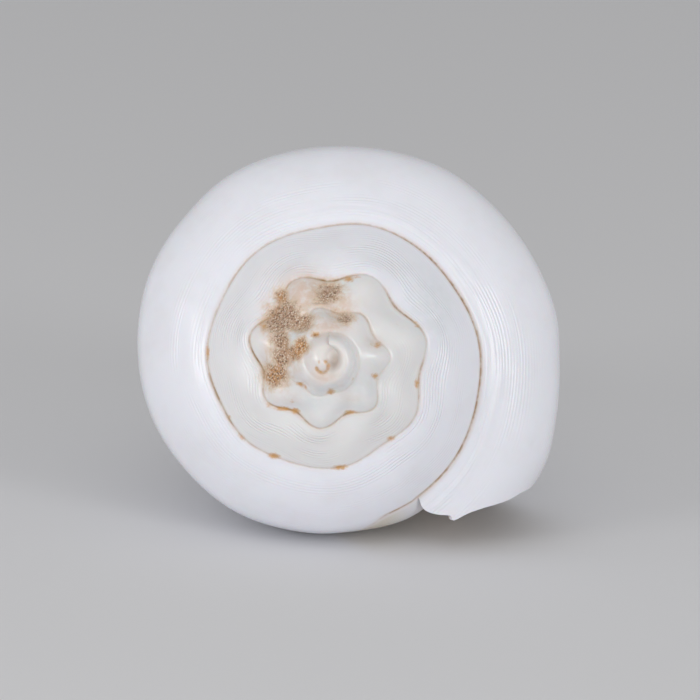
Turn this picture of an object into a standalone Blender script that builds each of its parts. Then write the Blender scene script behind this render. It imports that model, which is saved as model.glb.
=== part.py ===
"""A heavy white conch shell, lying on its mouth with the spire raised.

The shell is one closed solid. Its surface is wound round a straight axis: every cut through the axis
gives one outline, from the suture over the shoulder to the tip of the canal, and the outline shrinks
with each turn back from the lip. A place on it is a turn, counted back from the lip, and a row,
counted down the outline. Radii are from the axis, depths are down the axis from the point where the
spire would end. Angles are anticlockwise as seen from the spire. Everything is in metres.
"""

import math

import bmesh
import bpy
import numpy as np
from mathutils import Matrix

# Overall size: the shell is 150 mm long and 88 mm wide
TIP_DEPTH = 0.1485
LIP_RADIUS = 0.0510
LIP_DEPTH = 0.0470
LIP_ANGLE = math.radians(-57.0)

# The suture, the line where each whorl meets the one before it
SUTURE_RADIUS = 0.0345
SUTURE_DEPTH = 0.0300
SUTURE_RATE = 1.676

# How much fuller the suture runs than an even spiral would, at each turn back from the lip
SUTURE_FULLNESS = ((0.0, 0.992), (0.3, 1.003), (0.55, 1.004), (0.8, 1.032), (1.0, 1.045), (1.3, 1.043),
                   (1.5, 1.028), (2.0, 1.030), (2.4, 1.030), (2.65, 1.012), (2.9, 0.965), (3.3, 0.950),
                   (4.4, 0.950))

# The widest line of the last whorl, and how far it lies below and outside the next suture
BODY_RADIUS_RATE = 1.4326
BODY_DEPTH_RATE = 1.270
UNDER_SUTURE_OUT = 0.0011
UNDER_SUTURE_DOWN = 0.0070
SHOULDER_REACH = 0.927
SHOULDER_DROP = 0.588
SLOPE_AT_SUTURE = math.radians(20.0)
SLOPE_AT_SHOULDER = math.radians(58.0)
SLOPE_IN_SPIRE = math.radians(50.0)

# The last whorl is a little fuller across its back, has low waves and flares at the lip. Each wave is
# given by degrees anticlockwise from the right, as seen from the spire, and by metres in or out
BACK_SWELL = 0.00095
SWELL_START = 0.16
SWELL_TURNS = 0.86
WHORL_WAVES = ((-57, 0.0), (-33, 0.0), (-25, 0.0006), (-17, 0.0002), (-10, -0.0001), (0, -0.0001),
               (10, 0.00045), (22, 0.0002), (45, 0.0), (58, 0.0001), (70, -0.00035), (84, -0.0007),
               (100, -0.00044), (120, 0.0001), (134, -0.0003), (150, 0.0), (175, -0.00018),
               (200, -0.00006), (218, -0.0002), (240, 0.0002), (255, 0.00005), (272, 0.0002),
               (290, -0.0001), (303, 0.0))
LIP_FLARE = 0.0008
FLARE_TURNS = 0.12

# Below the widest line: radius of the lip's outline at each depth below that line
BASE_DROPS = (0.0, 0.012, 0.029, 0.046, 0.062, 0.078, 0.095)
BASE_RADII = (0.0510, 0.0506, 0.0460, 0.0362, 0.0250, 0.0145, 0.0050)
CANAL_TIP_RADIUS = 0.0118
CANAL_WIDENING = 0.21
CANAL_SHAPE = 0.8
PILLAR_TIP_RADIUS = 0.0050
PILLAR_TOP_RADIUS = 0.0105
PILLAR_TOP_DEPTH = 0.078
PILLAR_LOW_DEPTH = 0.128
PILLAR_THINNING = 0.15
NECK_SOFTNESS = 0.006

# Spiral folds on the pillar, inside the mouth
FOLD_COUNT = 4
FOLD_HEIGHT = 0.0016
FOLD_FIRST_DEPTH = 0.0700
FOLD_SPACING = 0.0066
FOLD_RISE_PER_TURN = 0.040
FOLDS_START = (0.97, 1.03)

# Knobs: the suture swells over each crest and draws in between two. Each crest and hollow is given by
# degrees wound back from the right, as seen from the spire, and by its share of the radius
KNOBS = ((-57, 0.0), (-40, 0.005), (-12, -0.006), (6, 0.003), (32, -0.012), (54, 0.005), (72, 0.014),
         (94, -0.016), (122, 0.007), (152, -0.016), (180, 0.011), (202, -0.008), (224, 0.012),
         (246, -0.010), (280, 0.014), (302, -0.022), (326, 0.035), (350, -0.050), (372, 0.057),
         (398, -0.061), (423, 0.075), (448, -0.064), (473, 0.076), (499, -0.080), (523, 0.100),
         (551, -0.076), (574, 0.076), (598, -0.074), (623, 0.082), (649, -0.075), (673, 0.108),
         (699, -0.092), (723, 0.105), (746, -0.064), (773, 0.067), (799, -0.060), (824, 0.082),
         (849, -0.080), (872, 0.098), (894, -0.080), (920, 0.070), (946, -0.052), (972, 0.045),
         (996, -0.030), (1020, 0.020), (1045, 0.0), (1100, 0.0))
KNOB_LIFT = 0.45
KNOB_LOWNESS = 1.8
KNOB_FOOT = 0.50
KNOB_TOP = 0.25

# The nipple shaped tip of the spire
TIP_RAISE = 0.0034
TIP_FROM = 2.9
TIP_TO = 4.0
SPIRE_TURNS = 4.4
NUCLEUS_OFFSET = (-0.0010, -0.0012)
DOME_RISE = 0.0021
DOME_RINGS = 3

# The lip, seen from the spire: degrees that it lies further back than the end of the suture, at each
# row from the suture to the widest line and on to the tip of the canal
LIP_LINE = ((0.0, 0.0), (1.6, -0.5), (3.2, 3.5), (4.6, 11.0), (5.8, 17.5), (7.0, 24.0), (8.2, 27.0),
            (9.0, 28.0), (14.0, 25.0), (20.0, 16.0), (26.0, 8.0), (32.0, 5.0), (38.0, 5.0))
LIP_SWEEP_TURNS = 0.35

# Wall of the last whorl and the hollow inside it
WALL = 0.0036
CANAL_WALL = 0.0026
LIP_ROUNDING = 0.0012
CORNER_BLEND = 0.45
WALL_THINS_FROM = 0.30
HOLLOW_TURNS = 1.40
CANAL_HOLLOW_TURNS = 0.24
HOLLOW_SHORTENS = (0.22, 0.72)
HOLLOW_ROUND_FROM = 0.78
HOLLOW_LEAST_GAP = 0.0012

# The callus beside the mouth: thickness, turns over which it comes and goes, and its reach down the side
CALLUS = 0.0016
CALLUS_COMES = (0.915, 0.985)
CALLUS_GOES = (1.04, 1.20)
CALLUS_FADES = (0.20, 0.55)

# How it lies: the spire raised above the level, and the shell rolled about its own axis
SPIRE_RAISED = math.radians(14.7)
ROLL = math.radians(3.2)
WORN_FLAT = 0.0006

# Fineness of the surface
COLUMNS = 48
SPIRE_ROWS = 7
SUTURE_ROWS = 2
SIDE_ROWS = 29
HOLLOW_COLUMNS = 24
HOLLOW_SPACING = 1.35
ROW_STEP = 0.02

KNOB_ROW = SPIRE_ROWS
WIDE_ROW = SPIRE_ROWS + SUTURE_ROWS
LAST_ROW = WIDE_ROW + SIDE_ROWS
FULL_TURN = 2.0 * math.pi


def smooth_step(low, high, value):
    """Rises from 0 at low to 1 at high with level ends."""
    share = np.clip((value - low) / (high - low), 0.0, 1.0)
    return share * share * (3.0 - 2.0 * share)


def smooth_larger(first, second, softness):
    """The larger of two lengths, with a fillet where they cross."""
    return 0.5 * (first + second + np.sqrt((first - second) ** 2 + softness ** 2))


def hermite(start, end, start_run, end_run, share):
    """One smooth stretch between two values that leaves and arrives at given rates."""
    square = share * share
    cube = square * share
    return ((2.0 * cube - 3.0 * square + 1.0) * start + (cube - 2.0 * square + share) * start_run
            + (3.0 * square - 2.0 * cube) * end + (cube - square) * end_run)


def curve_through(places, heights, value):
    """Height at a value of a smooth curve through given points, level before the first of them."""
    places = np.array(places, dtype=float)
    heights = np.array(heights, dtype=float)
    slopes = np.gradient(heights, places)
    slopes[0] = 0.0
    value = np.clip(value, places[0], places[-1])
    piece = np.clip(np.searchsorted(places, value, side="right") - 1, 0, len(places) - 2)
    width = places[piece + 1] - places[piece]
    return hermite(heights[piece], heights[piece + 1], slopes[piece] * width, slopes[piece + 1] * width,
                   (value - places[piece]) / width)


def degrees_wound(turn):
    """Degrees wound back from the right, as seen from the spire."""
    return np.degrees(LIP_ANGLE + FULL_TURN * turn)


def knob_ripple(turn):
    """Share by which the suture's radius swells at a knob and draws in between two."""
    return curve_through(*zip(*KNOBS), degrees_wound(turn))


def suture(turn, knobs=True):
    """Radius and depth of the suture."""
    shrink = SUTURE_RATE ** -turn
    swell = 1.0 + knob_ripple(turn) if knobs else 1.0
    raised = TIP_RAISE * smooth_step(TIP_FROM, TIP_TO, turn)
    fullness = curve_through(*zip(*SUTURE_FULLNESS), turn)
    return SUTURE_RADIUS * shrink * fullness * swell, SUTURE_DEPTH * shrink - raised


def wide_line(turn):
    """Radius and depth of the widest line, the periphery, of a whorl."""
    early = np.maximum(turn, 1.0)
    next_radius, next_depth = suture(early - 1.0)
    shrink = SUTURE_RATE ** (1.0 - early)
    early_radius = next_radius + UNDER_SUTURE_OUT * shrink
    early_depth = next_depth + UNDER_SUTURE_DOWN * shrink
    swell_share = np.clip((turn - SWELL_START) / SWELL_TURNS, 0.0, 1.0)
    swell = BACK_SWELL * np.sin(FULL_TURN * swell_share)
    flare = LIP_FLARE * (1.0 - smooth_step(0.0, FLARE_TURNS, turn))
    wave = curve_through(*zip(*WHORL_WAVES), degrees_wound(turn))
    late_radius = LIP_RADIUS * BODY_RADIUS_RATE ** -turn + swell + flare + wave
    late_depth = LIP_DEPTH * BODY_DEPTH_RATE ** -turn
    last_whorl = turn < 1.0
    return np.where(last_whorl, late_radius, early_radius), np.where(last_whorl, late_depth, early_depth)


def shoulder_line(turn):
    """Radius and depth of the line on which the next whorl's suture runs, or would run."""
    next_radius, next_depth = suture(np.maximum(turn, 1.0) - 1.0)
    start_radius, start_depth = suture(turn, knobs=False)
    wide_radius, wide_depth = wide_line(turn)
    late_radius = start_radius + SHOULDER_REACH * (wide_radius - start_radius)
    late_depth = start_depth + SHOULDER_DROP * (wide_depth - start_depth)
    last_whorl = turn < 1.0
    return np.where(last_whorl, late_radius, next_radius), np.where(last_whorl, late_depth, next_depth)


def side_radius(turn, depth):
    """Radius below the widest line: the rounded base, then the canal and the pillar."""
    wide_radius, wide_depth = wide_line(turn)
    scale = wide_radius / LIP_RADIUS
    base = scale * curve_through(BASE_DROPS, BASE_RADII, (depth - wide_depth) / scale)
    pillar = PILLAR_TIP_RADIUS + (PILLAR_TOP_RADIUS - PILLAR_TIP_RADIUS) * (
        1.0 - smooth_step(PILLAR_TOP_DEPTH, PILLAR_LOW_DEPTH, depth))
    pillar = pillar * (1.0 - PILLAR_THINNING * np.clip(turn - 1.0, 0.0, 1.0))
    canal = CANAL_TIP_RADIUS + CANAL_WIDENING * (TIP_DEPTH - depth)
    unwound = np.clip(1.0 - turn, 0.0, 1.0) ** CANAL_SHAPE
    neck = pillar + (canal - pillar) * unwound
    radius = smooth_larger(base, neck, NECK_SOFTNESS * scale)
    return radius + pillar_folds(turn, depth)


def pillar_folds(turn, depth):
    """Rounded ridges that wind down the pillar inside the mouth."""
    fold_number = (depth - FOLD_FIRST_DEPTH + FOLD_RISE_PER_TURN * (turn - 1.0)) / FOLD_SPACING
    ridge = 0.5 + 0.5 * np.cos(FULL_TURN * fold_number)
    counted = np.where(np.abs(fold_number - 0.5 * (FOLD_COUNT - 1)) < 0.5 * FOLD_COUNT, 1.0, 0.0)
    return FOLD_HEIGHT * counted * ridge * smooth_step(*FOLDS_START, turn)


def callus_thickness(turn, row):
    """The glaze laid down on the earlier whorl beside the mouth."""
    down_side = (row - WIDE_ROW) / SIDE_ROWS
    across = smooth_step(KNOB_ROW, WIDE_ROW, row) * (1.0 - smooth_step(*CALLUS_FADES, down_side))
    along = smooth_step(*CALLUS_COMES, turn) * (1.0 - smooth_step(*CALLUS_GOES, turn))
    return CALLUS * across * along


def outline(turn, row):
    """Radius and depth of the outer surface at a turn and a row, over arrays of both."""
    suture_radius, suture_depth = suture(turn)
    next_radius, next_depth = shoulder_line(turn)
    wide_radius, wide_depth = wide_line(turn)
    steepness = SLOPE_AT_SHOULDER + (SLOPE_IN_SPIRE - SLOPE_AT_SHOULDER) * smooth_step(1.0, 1.4, turn)

    upper = np.clip(row / KNOB_ROW, 0.0, 1.0)
    inner_ripple = knob_ripple(turn) * suture_radius
    own_ripple = knob_ripple(np.maximum(turn - 1.0, 0.0)) * next_radius
    span = np.hypot(next_radius - suture_radius, next_depth - suture_depth)
    upper_radius = hermite(suture_radius - inner_ripple, next_radius - own_ripple,
                           span * math.cos(SLOPE_AT_SUTURE), span * np.cos(steepness), upper)
    upper_radius = (upper_radius + inner_ripple * (1.0 - smooth_step(0.0, KNOB_FOOT, upper))
                    + own_ripple * smooth_step(KNOB_TOP, 1.0, upper))
    upper_depth = hermite(suture_depth, next_depth, span * math.sin(SLOPE_AT_SUTURE),
                          span * np.sin(steepness), upper)
    upper_depth = upper_depth - KNOB_LIFT * own_ripple * np.sin(math.pi * upper ** KNOB_LOWNESS)

    middle = np.clip((row - KNOB_ROW) / (WIDE_ROW - KNOB_ROW), 0.0, 1.0)
    span = np.hypot(wide_radius - next_radius, wide_depth - next_depth)
    middle_radius = hermite(next_radius, wide_radius, span * np.cos(steepness), 0.0, middle)
    middle_depth = hermite(next_depth, wide_depth, span * np.sin(steepness), span, middle)

    lower = np.clip((row - WIDE_ROW) / (LAST_ROW - WIDE_ROW), 0.0, 1.0)
    lower_depth = wide_depth + (TIP_DEPTH - wide_depth) * lower
    lower_radius = side_radius(turn, lower_depth)

    upper_rows = row <= KNOB_ROW
    middle_rows = row <= WIDE_ROW
    radius = np.where(upper_rows, upper_radius, np.where(middle_rows, middle_radius, lower_radius))
    depth = np.where(upper_rows, upper_depth, np.where(middle_rows, middle_depth, lower_depth))
    return radius + callus_thickness(turn, row), depth


def swept_turn(turn, row):
    """The lip isn't straight: it lies further back at the widest line than at either end."""
    sweep = np.radians(curve_through(*zip(*LIP_LINE), row))
    return turn + sweep / FULL_TURN * (1.0 - smooth_step(0.0, LIP_SWEEP_TURNS, turn))


def place(turn, radius, depth):
    """A point on the shell in its own frame, with the spire up."""
    angle = LIP_ANGLE + FULL_TURN * turn
    return np.stack((radius * np.cos(angle), radius * np.sin(angle), -depth), axis=-1)


def outer_points(turns, rows):
    """Grid of points on the outer surface: one line for each turn, one column for each row."""
    turn, row = np.meshgrid(turns, np.asarray(rows, dtype=float), indexing="ij")
    turn = swept_turn(turn, row)
    radius, depth = outline(turn, row)
    return place(turn, radius, depth)


def hollow_reach(row):
    """Turns that the hollow goes back from the lip: nearly one in the body, less in the canal."""
    into_canal = smooth_step(*HOLLOW_SHORTENS, (row - WIDE_ROW) / SIDE_ROWS)
    return HOLLOW_TURNS + (CANAL_HOLLOW_TURNS - HOLLOW_TURNS) * into_canal


def wall_thickness(row):
    """The wall thins from the body to the canal."""
    return WALL + (CANAL_WALL - WALL) * smooth_step(WALL_THINS_FROM, 1.0, (row - WIDE_ROW) / SIDE_ROWS)


def hollow_points(shares):
    """The hollow's outer wall (every row) and inner wall (rows from the widest line down)."""
    rows = np.arange(LAST_ROW + 1, dtype=float)
    share, row = np.meshgrid(shares, rows, indexing="ij")
    depth_in = share * hollow_reach(row)
    turn = swept_turn(depth_in, row)
    radius, depth = outline(turn, row)

    ahead_radius, ahead_depth = outline(turn, np.minimum(row + ROW_STEP, LAST_ROW))
    behind_radius, behind_depth = outline(turn, np.maximum(row - ROW_STEP, 0.0))
    along_radius = ahead_radius - behind_radius
    along_depth = ahead_depth - behind_depth
    length = np.hypot(along_radius, along_depth)
    wall = wall_thickness(row)
    wall_radius = radius - wall * along_depth / length
    wall_depth = depth + wall * along_radius / length
    wall_depth[:, -1] = depth[:, -1]

    corner_turn = 1.0 + depth_in[:, 0]
    corner_radius, corner_depth = outline(corner_turn, np.full_like(corner_turn, WIDE_ROW))
    fade = 1.0 - smooth_step(0.0, CORNER_BLEND * WIDE_ROW, row)
    wall_radius = wall_radius + fade * (corner_radius - wall_radius[:, 0])[:, None]
    wall_depth = wall_depth + fade * (corner_depth - wall_depth[:, 0])[:, None]

    inner_turn = 1.0 + depth_in[:, WIDE_ROW:]
    inner_radius, inner_depth = outline(inner_turn, row[:, WIDE_ROW:])
    wall_radius[:, WIDE_ROW:] = np.maximum(wall_radius[:, WIDE_ROW:], inner_radius + HOLLOW_LEAST_GAP)
    outer = place(turn, wall_radius, wall_depth)
    inner = place(inner_turn, inner_radius, inner_depth)

    end_share = np.clip((shares - HOLLOW_ROUND_FROM) / (1.0 - HOLLOW_ROUND_FROM), 0.0, 1.0)
    open_share = np.sqrt(1.0 - end_share ** 2)[:, None, None]
    middle = 0.5 * (outer[:, WIDE_ROW:] + inner)
    corner_middle = np.repeat(middle[:, :1], WIDE_ROW, axis=1)
    all_middle = np.concatenate((corner_middle, middle), axis=1)
    return all_middle + (outer - all_middle) * open_share, middle + (inner - middle) * open_share


def lip_points(outer_edge, inner_edge):
    """The rounded rim between the lip's outer and inner edges."""
    shares = np.arange(1, SUTURE_ROWS) / SUTURE_ROWS
    straight = outer_edge[:, None] + (inner_edge - outer_edge)[:, None] * shares[None, :, None]
    around = np.stack((straight[..., 1], -straight[..., 0], np.zeros(straight.shape[:2])), axis=-1)
    around /= np.linalg.norm(around, axis=-1, keepdims=True)
    bulge = LIP_ROUNDING * np.sin(math.pi * shares)[None, :, None]
    return straight + around * bulge


def number_grid(store, points, known):
    """Adds a grid of points to the store and numbers it. Known places keep the number they have."""
    numbers = np.full(points.shape[:2], -1, dtype=int)
    for place_in_grid, number in known.items():
        numbers[place_in_grid] = number
    for column in range(points.shape[0]):
        for row in range(points.shape[1]):
            if numbers[column, row] < 0:
                numbers[column, row] = len(store)
                store.append(points[column, row])
    return numbers


def grid_faces(numbers):
    """Faces between neighbouring points of a numbered grid, without repeated corners."""
    faces = []
    for column in range(numbers.shape[0] - 1):
        for row in range(numbers.shape[1] - 1):
            ring = (numbers[column, row], numbers[column + 1, row],
                    numbers[column + 1, row + 1], numbers[column, row + 1])
            corners = list(dict.fromkeys(int(number) for number in ring))
            if len(corners) > 2:
                faces.append(corners)
    return faces


def tip_dome(store, loop):
    """Rings that close the top of the spire in a low dome round the shell's first whorl."""
    rim = np.array([store[number] for number in loop])
    middle = rim.mean(axis=0)
    reach = np.linalg.norm(rim[:, :2] - middle[:2], axis=1).mean()
    angles = math.atan2(*(rim[0, 1::-1] - middle[1::-1])) + FULL_TURN * np.arange(len(loop)) / len(loop)
    circle = middle + reach * np.stack((np.cos(angles), np.sin(angles), np.zeros(len(loop))), axis=-1)
    centre = middle + np.array((NUCLEUS_OFFSET[0], NUCLEUS_OFFSET[1], DOME_RISE))
    faces = []
    outer_ring = loop
    for ring in range(1, DOME_RINGS + 1):
        share = 1.0 - ring / (DOME_RINGS + 1.0)
        edge = rim + (circle - rim) * (1.0 - share)
        ring_points = centre + (edge - centre) * share
        ring_points[:, 2] = centre[2] + (edge[:, 2] - centre[2]) * share ** 2
        start = len(store)
        store.extend(ring_points)
        inner_ring = list(range(start, start + len(loop)))
        for index in range(len(loop)):
            after = (index + 1) % len(loop)
            faces.append([outer_ring[index], outer_ring[after], inner_ring[after], inner_ring[index]])
        outer_ring = inner_ring
    top = len(store)
    store.append(centre)
    for index in range(len(loop)):
        faces.append([outer_ring[index], outer_ring[(index + 1) % len(loop)], top])
    return faces


def shell_surface():
    """Points and faces of the whole closed shell, in its own frame."""
    store = []
    body_turns = np.arange(COLUMNS + 1) / COLUMNS
    body = outer_points(body_turns, range(LAST_ROW + 1))
    first = number_grid(store, body[COLUMNS:], {})
    meeting = {(0, 0): first[0, KNOB_ROW]}
    for row in range(LAST_ROW + 1):
        meeting[(COLUMNS, row)] = first[0, row]
    body_numbers = number_grid(store, body, meeting)

    spire_columns = round((SPIRE_TURNS - 1.0) * COLUMNS)
    spire_turns = 1.0 + np.arange(spire_columns + 1) / COLUMNS
    spire = outer_points(spire_turns, range(KNOB_ROW + 1))
    spire_numbers = np.empty((spire_columns + 1, KNOB_ROW + 1), dtype=int)
    spire_numbers[0] = body_numbers[COLUMNS, :KNOB_ROW + 1]
    for column in range(1, spire_columns + 1):
        turn_before = column - COLUMNS
        below = body_numbers[column, 0] if turn_before <= 0 else spire_numbers[turn_before, 0]
        known = {(0, KNOB_ROW): below}
        spire_numbers[column] = number_grid(store, spire[column:column + 1], known)[0]

    shares = (np.arange(HOLLOW_COLUMNS + 1) / HOLLOW_COLUMNS) ** HOLLOW_SPACING
    outer_wall, inner_wall = hollow_points(shares)
    known = {(0, row): body_numbers[COLUMNS, WIDE_ROW + row] for row in range(SIDE_ROWS + 1)}
    inner_numbers = number_grid(store, inner_wall, known)
    known = {(column, 0): inner_numbers[column, 0] for column in range(HOLLOW_COLUMNS + 1)}
    for row in range(LAST_ROW + 1):
        known[(HOLLOW_COLUMNS, row)] = inner_numbers[HOLLOW_COLUMNS, max(row - WIDE_ROW, 0)]
    outer_numbers = number_grid(store, outer_wall, known)

    rim_numbers = np.empty((LAST_ROW + 1, SUTURE_ROWS + 1), dtype=int)
    rim_numbers[:, 0] = body_numbers[0]
    rim_numbers[:, SUTURE_ROWS] = outer_numbers[0]
    rim_numbers[0] = body_numbers[COLUMNS, KNOB_ROW:WIDE_ROW + 1]
    rim = lip_points(np.array([store[number] for number in body_numbers[0]]),
                     np.array([store[number] for number in outer_numbers[0]]))
    rim_numbers[1:, 1:SUTURE_ROWS] = number_grid(store, rim[1:], {})

    canal_end = list(body_numbers[:, LAST_ROW]) + list(inner_numbers[1:, SIDE_ROWS])
    canal_end += list(outer_numbers[-2::-1, LAST_ROW]) + list(rim_numbers[LAST_ROW, -2:0:-1])
    top_loop = list(spire_numbers[spire_columns - COLUMNS:, 0]) + list(spire_numbers[-1, 1:-1])

    faces = grid_faces(body_numbers) + grid_faces(spire_numbers) + grid_faces(outer_numbers)
    faces += grid_faces(inner_numbers) + grid_faces(rim_numbers)
    faces += tip_dome(store, [int(number) for number in top_loop])
    faces.append([int(number) for number in canal_end])
    return np.array(store), faces


def lay_down(points):
    """Turns the shell from spire up to how it lies, sets it on z = 0 and wears its lowest spots flat."""
    upright_to_lying = Matrix.Rotation(math.pi / 2.0 - SPIRE_RAISED, 3, "X")
    turn = np.array(upright_to_lying @ Matrix.Rotation(ROLL, 3, "Z"))
    lying = points @ turn.T
    lying[:, 2] -= lying[:, 2].min() + WORN_FLAT
    lying[:, 2] = np.maximum(lying[:, 2], 0.0)
    middle = 0.5 * (lying.min(axis=0) + lying.max(axis=0))
    lying[:, :2] -= middle[:2]
    return lying


def shell_material():
    """Glossy white shell."""
    material = bpy.data.materials.new("white shell")
    material.use_nodes = True
    surface = material.node_tree.nodes["Principled BSDF"]
    surface.inputs["Base Color"].default_value = (0.72, 0.71, 0.70, 1.0)
    surface.inputs["Roughness"].default_value = 0.38
    surface.inputs["Metallic"].default_value = 0.0
    return material


def build_shell():
    """Makes the shell as one object with its own material."""
    points, faces = shell_surface()
    mesh = bpy.data.meshes.new("shell")
    mesh.from_pydata(lay_down(points).tolist(), [], faces)
    shape = bmesh.new()
    shape.from_mesh(mesh)
    bmesh.ops.triangulate(shape, faces=shape.faces[:])
    bmesh.ops.recalc_face_normals(shape, faces=shape.faces[:])
    if shape.calc_volume(signed=True) < 0.0:
        bmesh.ops.reverse_faces(shape, faces=shape.faces[:])
    shape.to_mesh(mesh)
    shape.free()
    mesh.shade_smooth()
    mesh.materials.append(shell_material())
    shell = bpy.data.objects.new("shell", mesh)
    bpy.context.scene.collection.objects.link(shell)
    return shell


for old in list(bpy.data.objects):
    bpy.data.objects.remove(old, do_unlink=True)
build_shell()
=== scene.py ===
import math

import bpy
import numpy as np
from mathutils import Matrix, Vector


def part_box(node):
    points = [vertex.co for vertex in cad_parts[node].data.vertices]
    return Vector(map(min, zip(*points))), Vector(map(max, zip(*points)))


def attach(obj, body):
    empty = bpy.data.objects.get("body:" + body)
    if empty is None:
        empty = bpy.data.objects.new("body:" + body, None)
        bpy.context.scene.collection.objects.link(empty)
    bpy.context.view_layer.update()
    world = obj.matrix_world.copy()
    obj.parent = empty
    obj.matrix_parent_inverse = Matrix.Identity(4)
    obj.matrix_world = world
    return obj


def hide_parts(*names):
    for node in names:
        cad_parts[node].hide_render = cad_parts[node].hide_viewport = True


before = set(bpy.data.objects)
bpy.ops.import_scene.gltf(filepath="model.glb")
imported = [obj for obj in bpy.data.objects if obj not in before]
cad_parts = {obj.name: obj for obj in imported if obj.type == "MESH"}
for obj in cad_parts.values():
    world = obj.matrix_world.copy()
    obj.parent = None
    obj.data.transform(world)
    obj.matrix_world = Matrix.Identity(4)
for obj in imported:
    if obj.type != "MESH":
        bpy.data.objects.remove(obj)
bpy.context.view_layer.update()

bl_info = {
    "name": "Conch Shell",
    "version": (1, 0, 0),
    "blender": (4, 5, 0),
    "location": "3D View > Sidebar > Conch Shell",
    "description": "A heavy white conch shell that lies on its mouth, on a pale studio floor",
    "category": "Add Mesh",
}

# The shell is wound round a straight axis. Every cut through the axis gives one outline, from the
# suture over the shoulder to the tip of the canal, and the outline shrinks with each turn back from
# the lip. A place on it is a turn, counted back from the lip, and a row, counted down the outline.
# Radii are from the axis, depths are down the axis from where the spire would end. Angles are
# anticlockwise as seen from the spire. Lengths are in metres.

FULL_TURN = 2.0 * math.pi
MM = 0.001

# Overall size: the shell is 150 mm long and 88 mm wide
TIP_DEPTH = 0.1485
LIP_RADIUS = 0.0510
LIP_DEPTH = 0.0470
LIP_ANGLE = math.radians(-57.0)

# The suture, the line where each whorl meets the one before it
SUTURE_RADIUS = 0.0345
SUTURE_DEPTH = 0.0300
SUTURE_RATE = 1.676

# How much fuller the suture runs than an even spiral would, at each turn back from the lip
SUTURE_FULLNESS = ((0.0, 0.992), (0.3, 1.003), (0.55, 1.004), (0.8, 1.032), (1.0, 1.045), (1.3, 1.043),
                   (1.5, 1.028), (2.0, 1.030), (2.4, 1.030), (2.65, 1.012), (2.9, 0.965), (3.3, 0.950),
                   (4.4, 0.950))

# The widest line of the last whorl, and how far it lies below and outside the next suture
BODY_RADIUS_RATE = 1.4326
BODY_DEPTH_RATE = 1.270
UNDER_SUTURE_OUT = 0.0011
UNDER_SUTURE_DOWN = 0.0070
SHOULDER_REACH = 0.927
SHOULDER_DROP = 0.588
SLOPE_AT_SUTURE = math.radians(20.0)
SLOPE_AT_SHOULDER = math.radians(58.0)
SLOPE_IN_SPIRE = math.radians(50.0)

# The last whorl is a little fuller across its back, has low waves and flares at the lip. Each wave is
# given by degrees anticlockwise from the right, as seen from the spire, and by metres in or out
BACK_SWELL = 0.00095
SWELL_START = 0.16
SWELL_TURNS = 0.86
WHORL_WAVES = ((-57, 0.0), (-33, 0.0), (-25, 0.0006), (-17, 0.0002), (-10, -0.0001), (0, -0.0001),
               (10, 0.00045), (22, 0.0002), (45, 0.0), (58, 0.0001), (70, -0.00035), (84, -0.0007),
               (100, -0.00044), (120, 0.0001), (134, -0.0003), (150, 0.0), (175, -0.00018),
               (200, -0.00006), (218, -0.0002), (240, 0.0002), (255, 0.00005), (272, 0.0002),
               (290, -0.0001), (303, 0.0))
LIP_FLARE = 0.0008
FLARE_TURNS = 0.12

# Below the widest line: the radius of the lip's outline at each depth below that line
BASE_RADII = ((0.0, 0.0510), (0.012, 0.0506), (0.029, 0.0460), (0.046, 0.0362), (0.062, 0.0250),
              (0.078, 0.0145), (0.095, 0.0050))
CANAL_TIP_RADIUS = 0.0118
CANAL_WIDENING = 0.21
CANAL_SHAPE = 0.8
PILLAR_TIP_RADIUS = 0.0050
PILLAR_TOP_RADIUS = 0.0105
PILLAR_TOP_DEPTH = 0.078
PILLAR_LOW_DEPTH = 0.128
PILLAR_THINNING = 0.15
NECK_SOFTNESS = 0.006

# Spiral folds on the pillar, inside the mouth
FOLD_COUNT = 4
FOLD_HEIGHT = 0.0016
FOLD_FIRST_DEPTH = 0.0700
FOLD_SPACING = 0.0066
FOLD_RISE_PER_TURN = 0.040
FOLDS_START = (0.97, 1.03)

# Knobs: the suture swells over each crest and draws in between two. Each crest and hollow is given by
# degrees wound back from the right, as seen from the spire, and by its share of the radius
KNOBS = ((-57, 0.0), (-40, 0.005), (-12, -0.006), (6, 0.003), (32, -0.012), (54, 0.005), (72, 0.014),
         (94, -0.016), (122, 0.007), (152, -0.016), (180, 0.011), (202, -0.008), (224, 0.012),
         (246, -0.010), (280, 0.014), (302, -0.022), (326, 0.035), (350, -0.050), (372, 0.057),
         (398, -0.061), (423, 0.075), (448, -0.064), (473, 0.076), (499, -0.080), (523, 0.100),
         (551, -0.076), (574, 0.076), (598, -0.074), (623, 0.082), (649, -0.075), (673, 0.108),
         (699, -0.092), (723, 0.105), (746, -0.064), (773, 0.067), (799, -0.060), (824, 0.082),
         (849, -0.080), (872, 0.098), (894, -0.080), (920, 0.070), (946, -0.052), (972, 0.045),
         (996, -0.030), (1020, 0.020), (1045, 0.0), (1100, 0.0))
KNOB_LIFT = 0.45
KNOB_LOWNESS = 1.8
KNOB_FOOT = 0.50
KNOB_TOP = 0.25

# The nipple shaped tip of the spire
TIP_RAISE = 0.0034
TIP_FROM = 2.9
TIP_TO = 4.0
SPIRE_TURNS = 4.4
NUCLEUS_OFFSET = (-0.0010, -0.0012)
DOME_RISE = 0.0021
DOME_RINGS = 16

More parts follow.
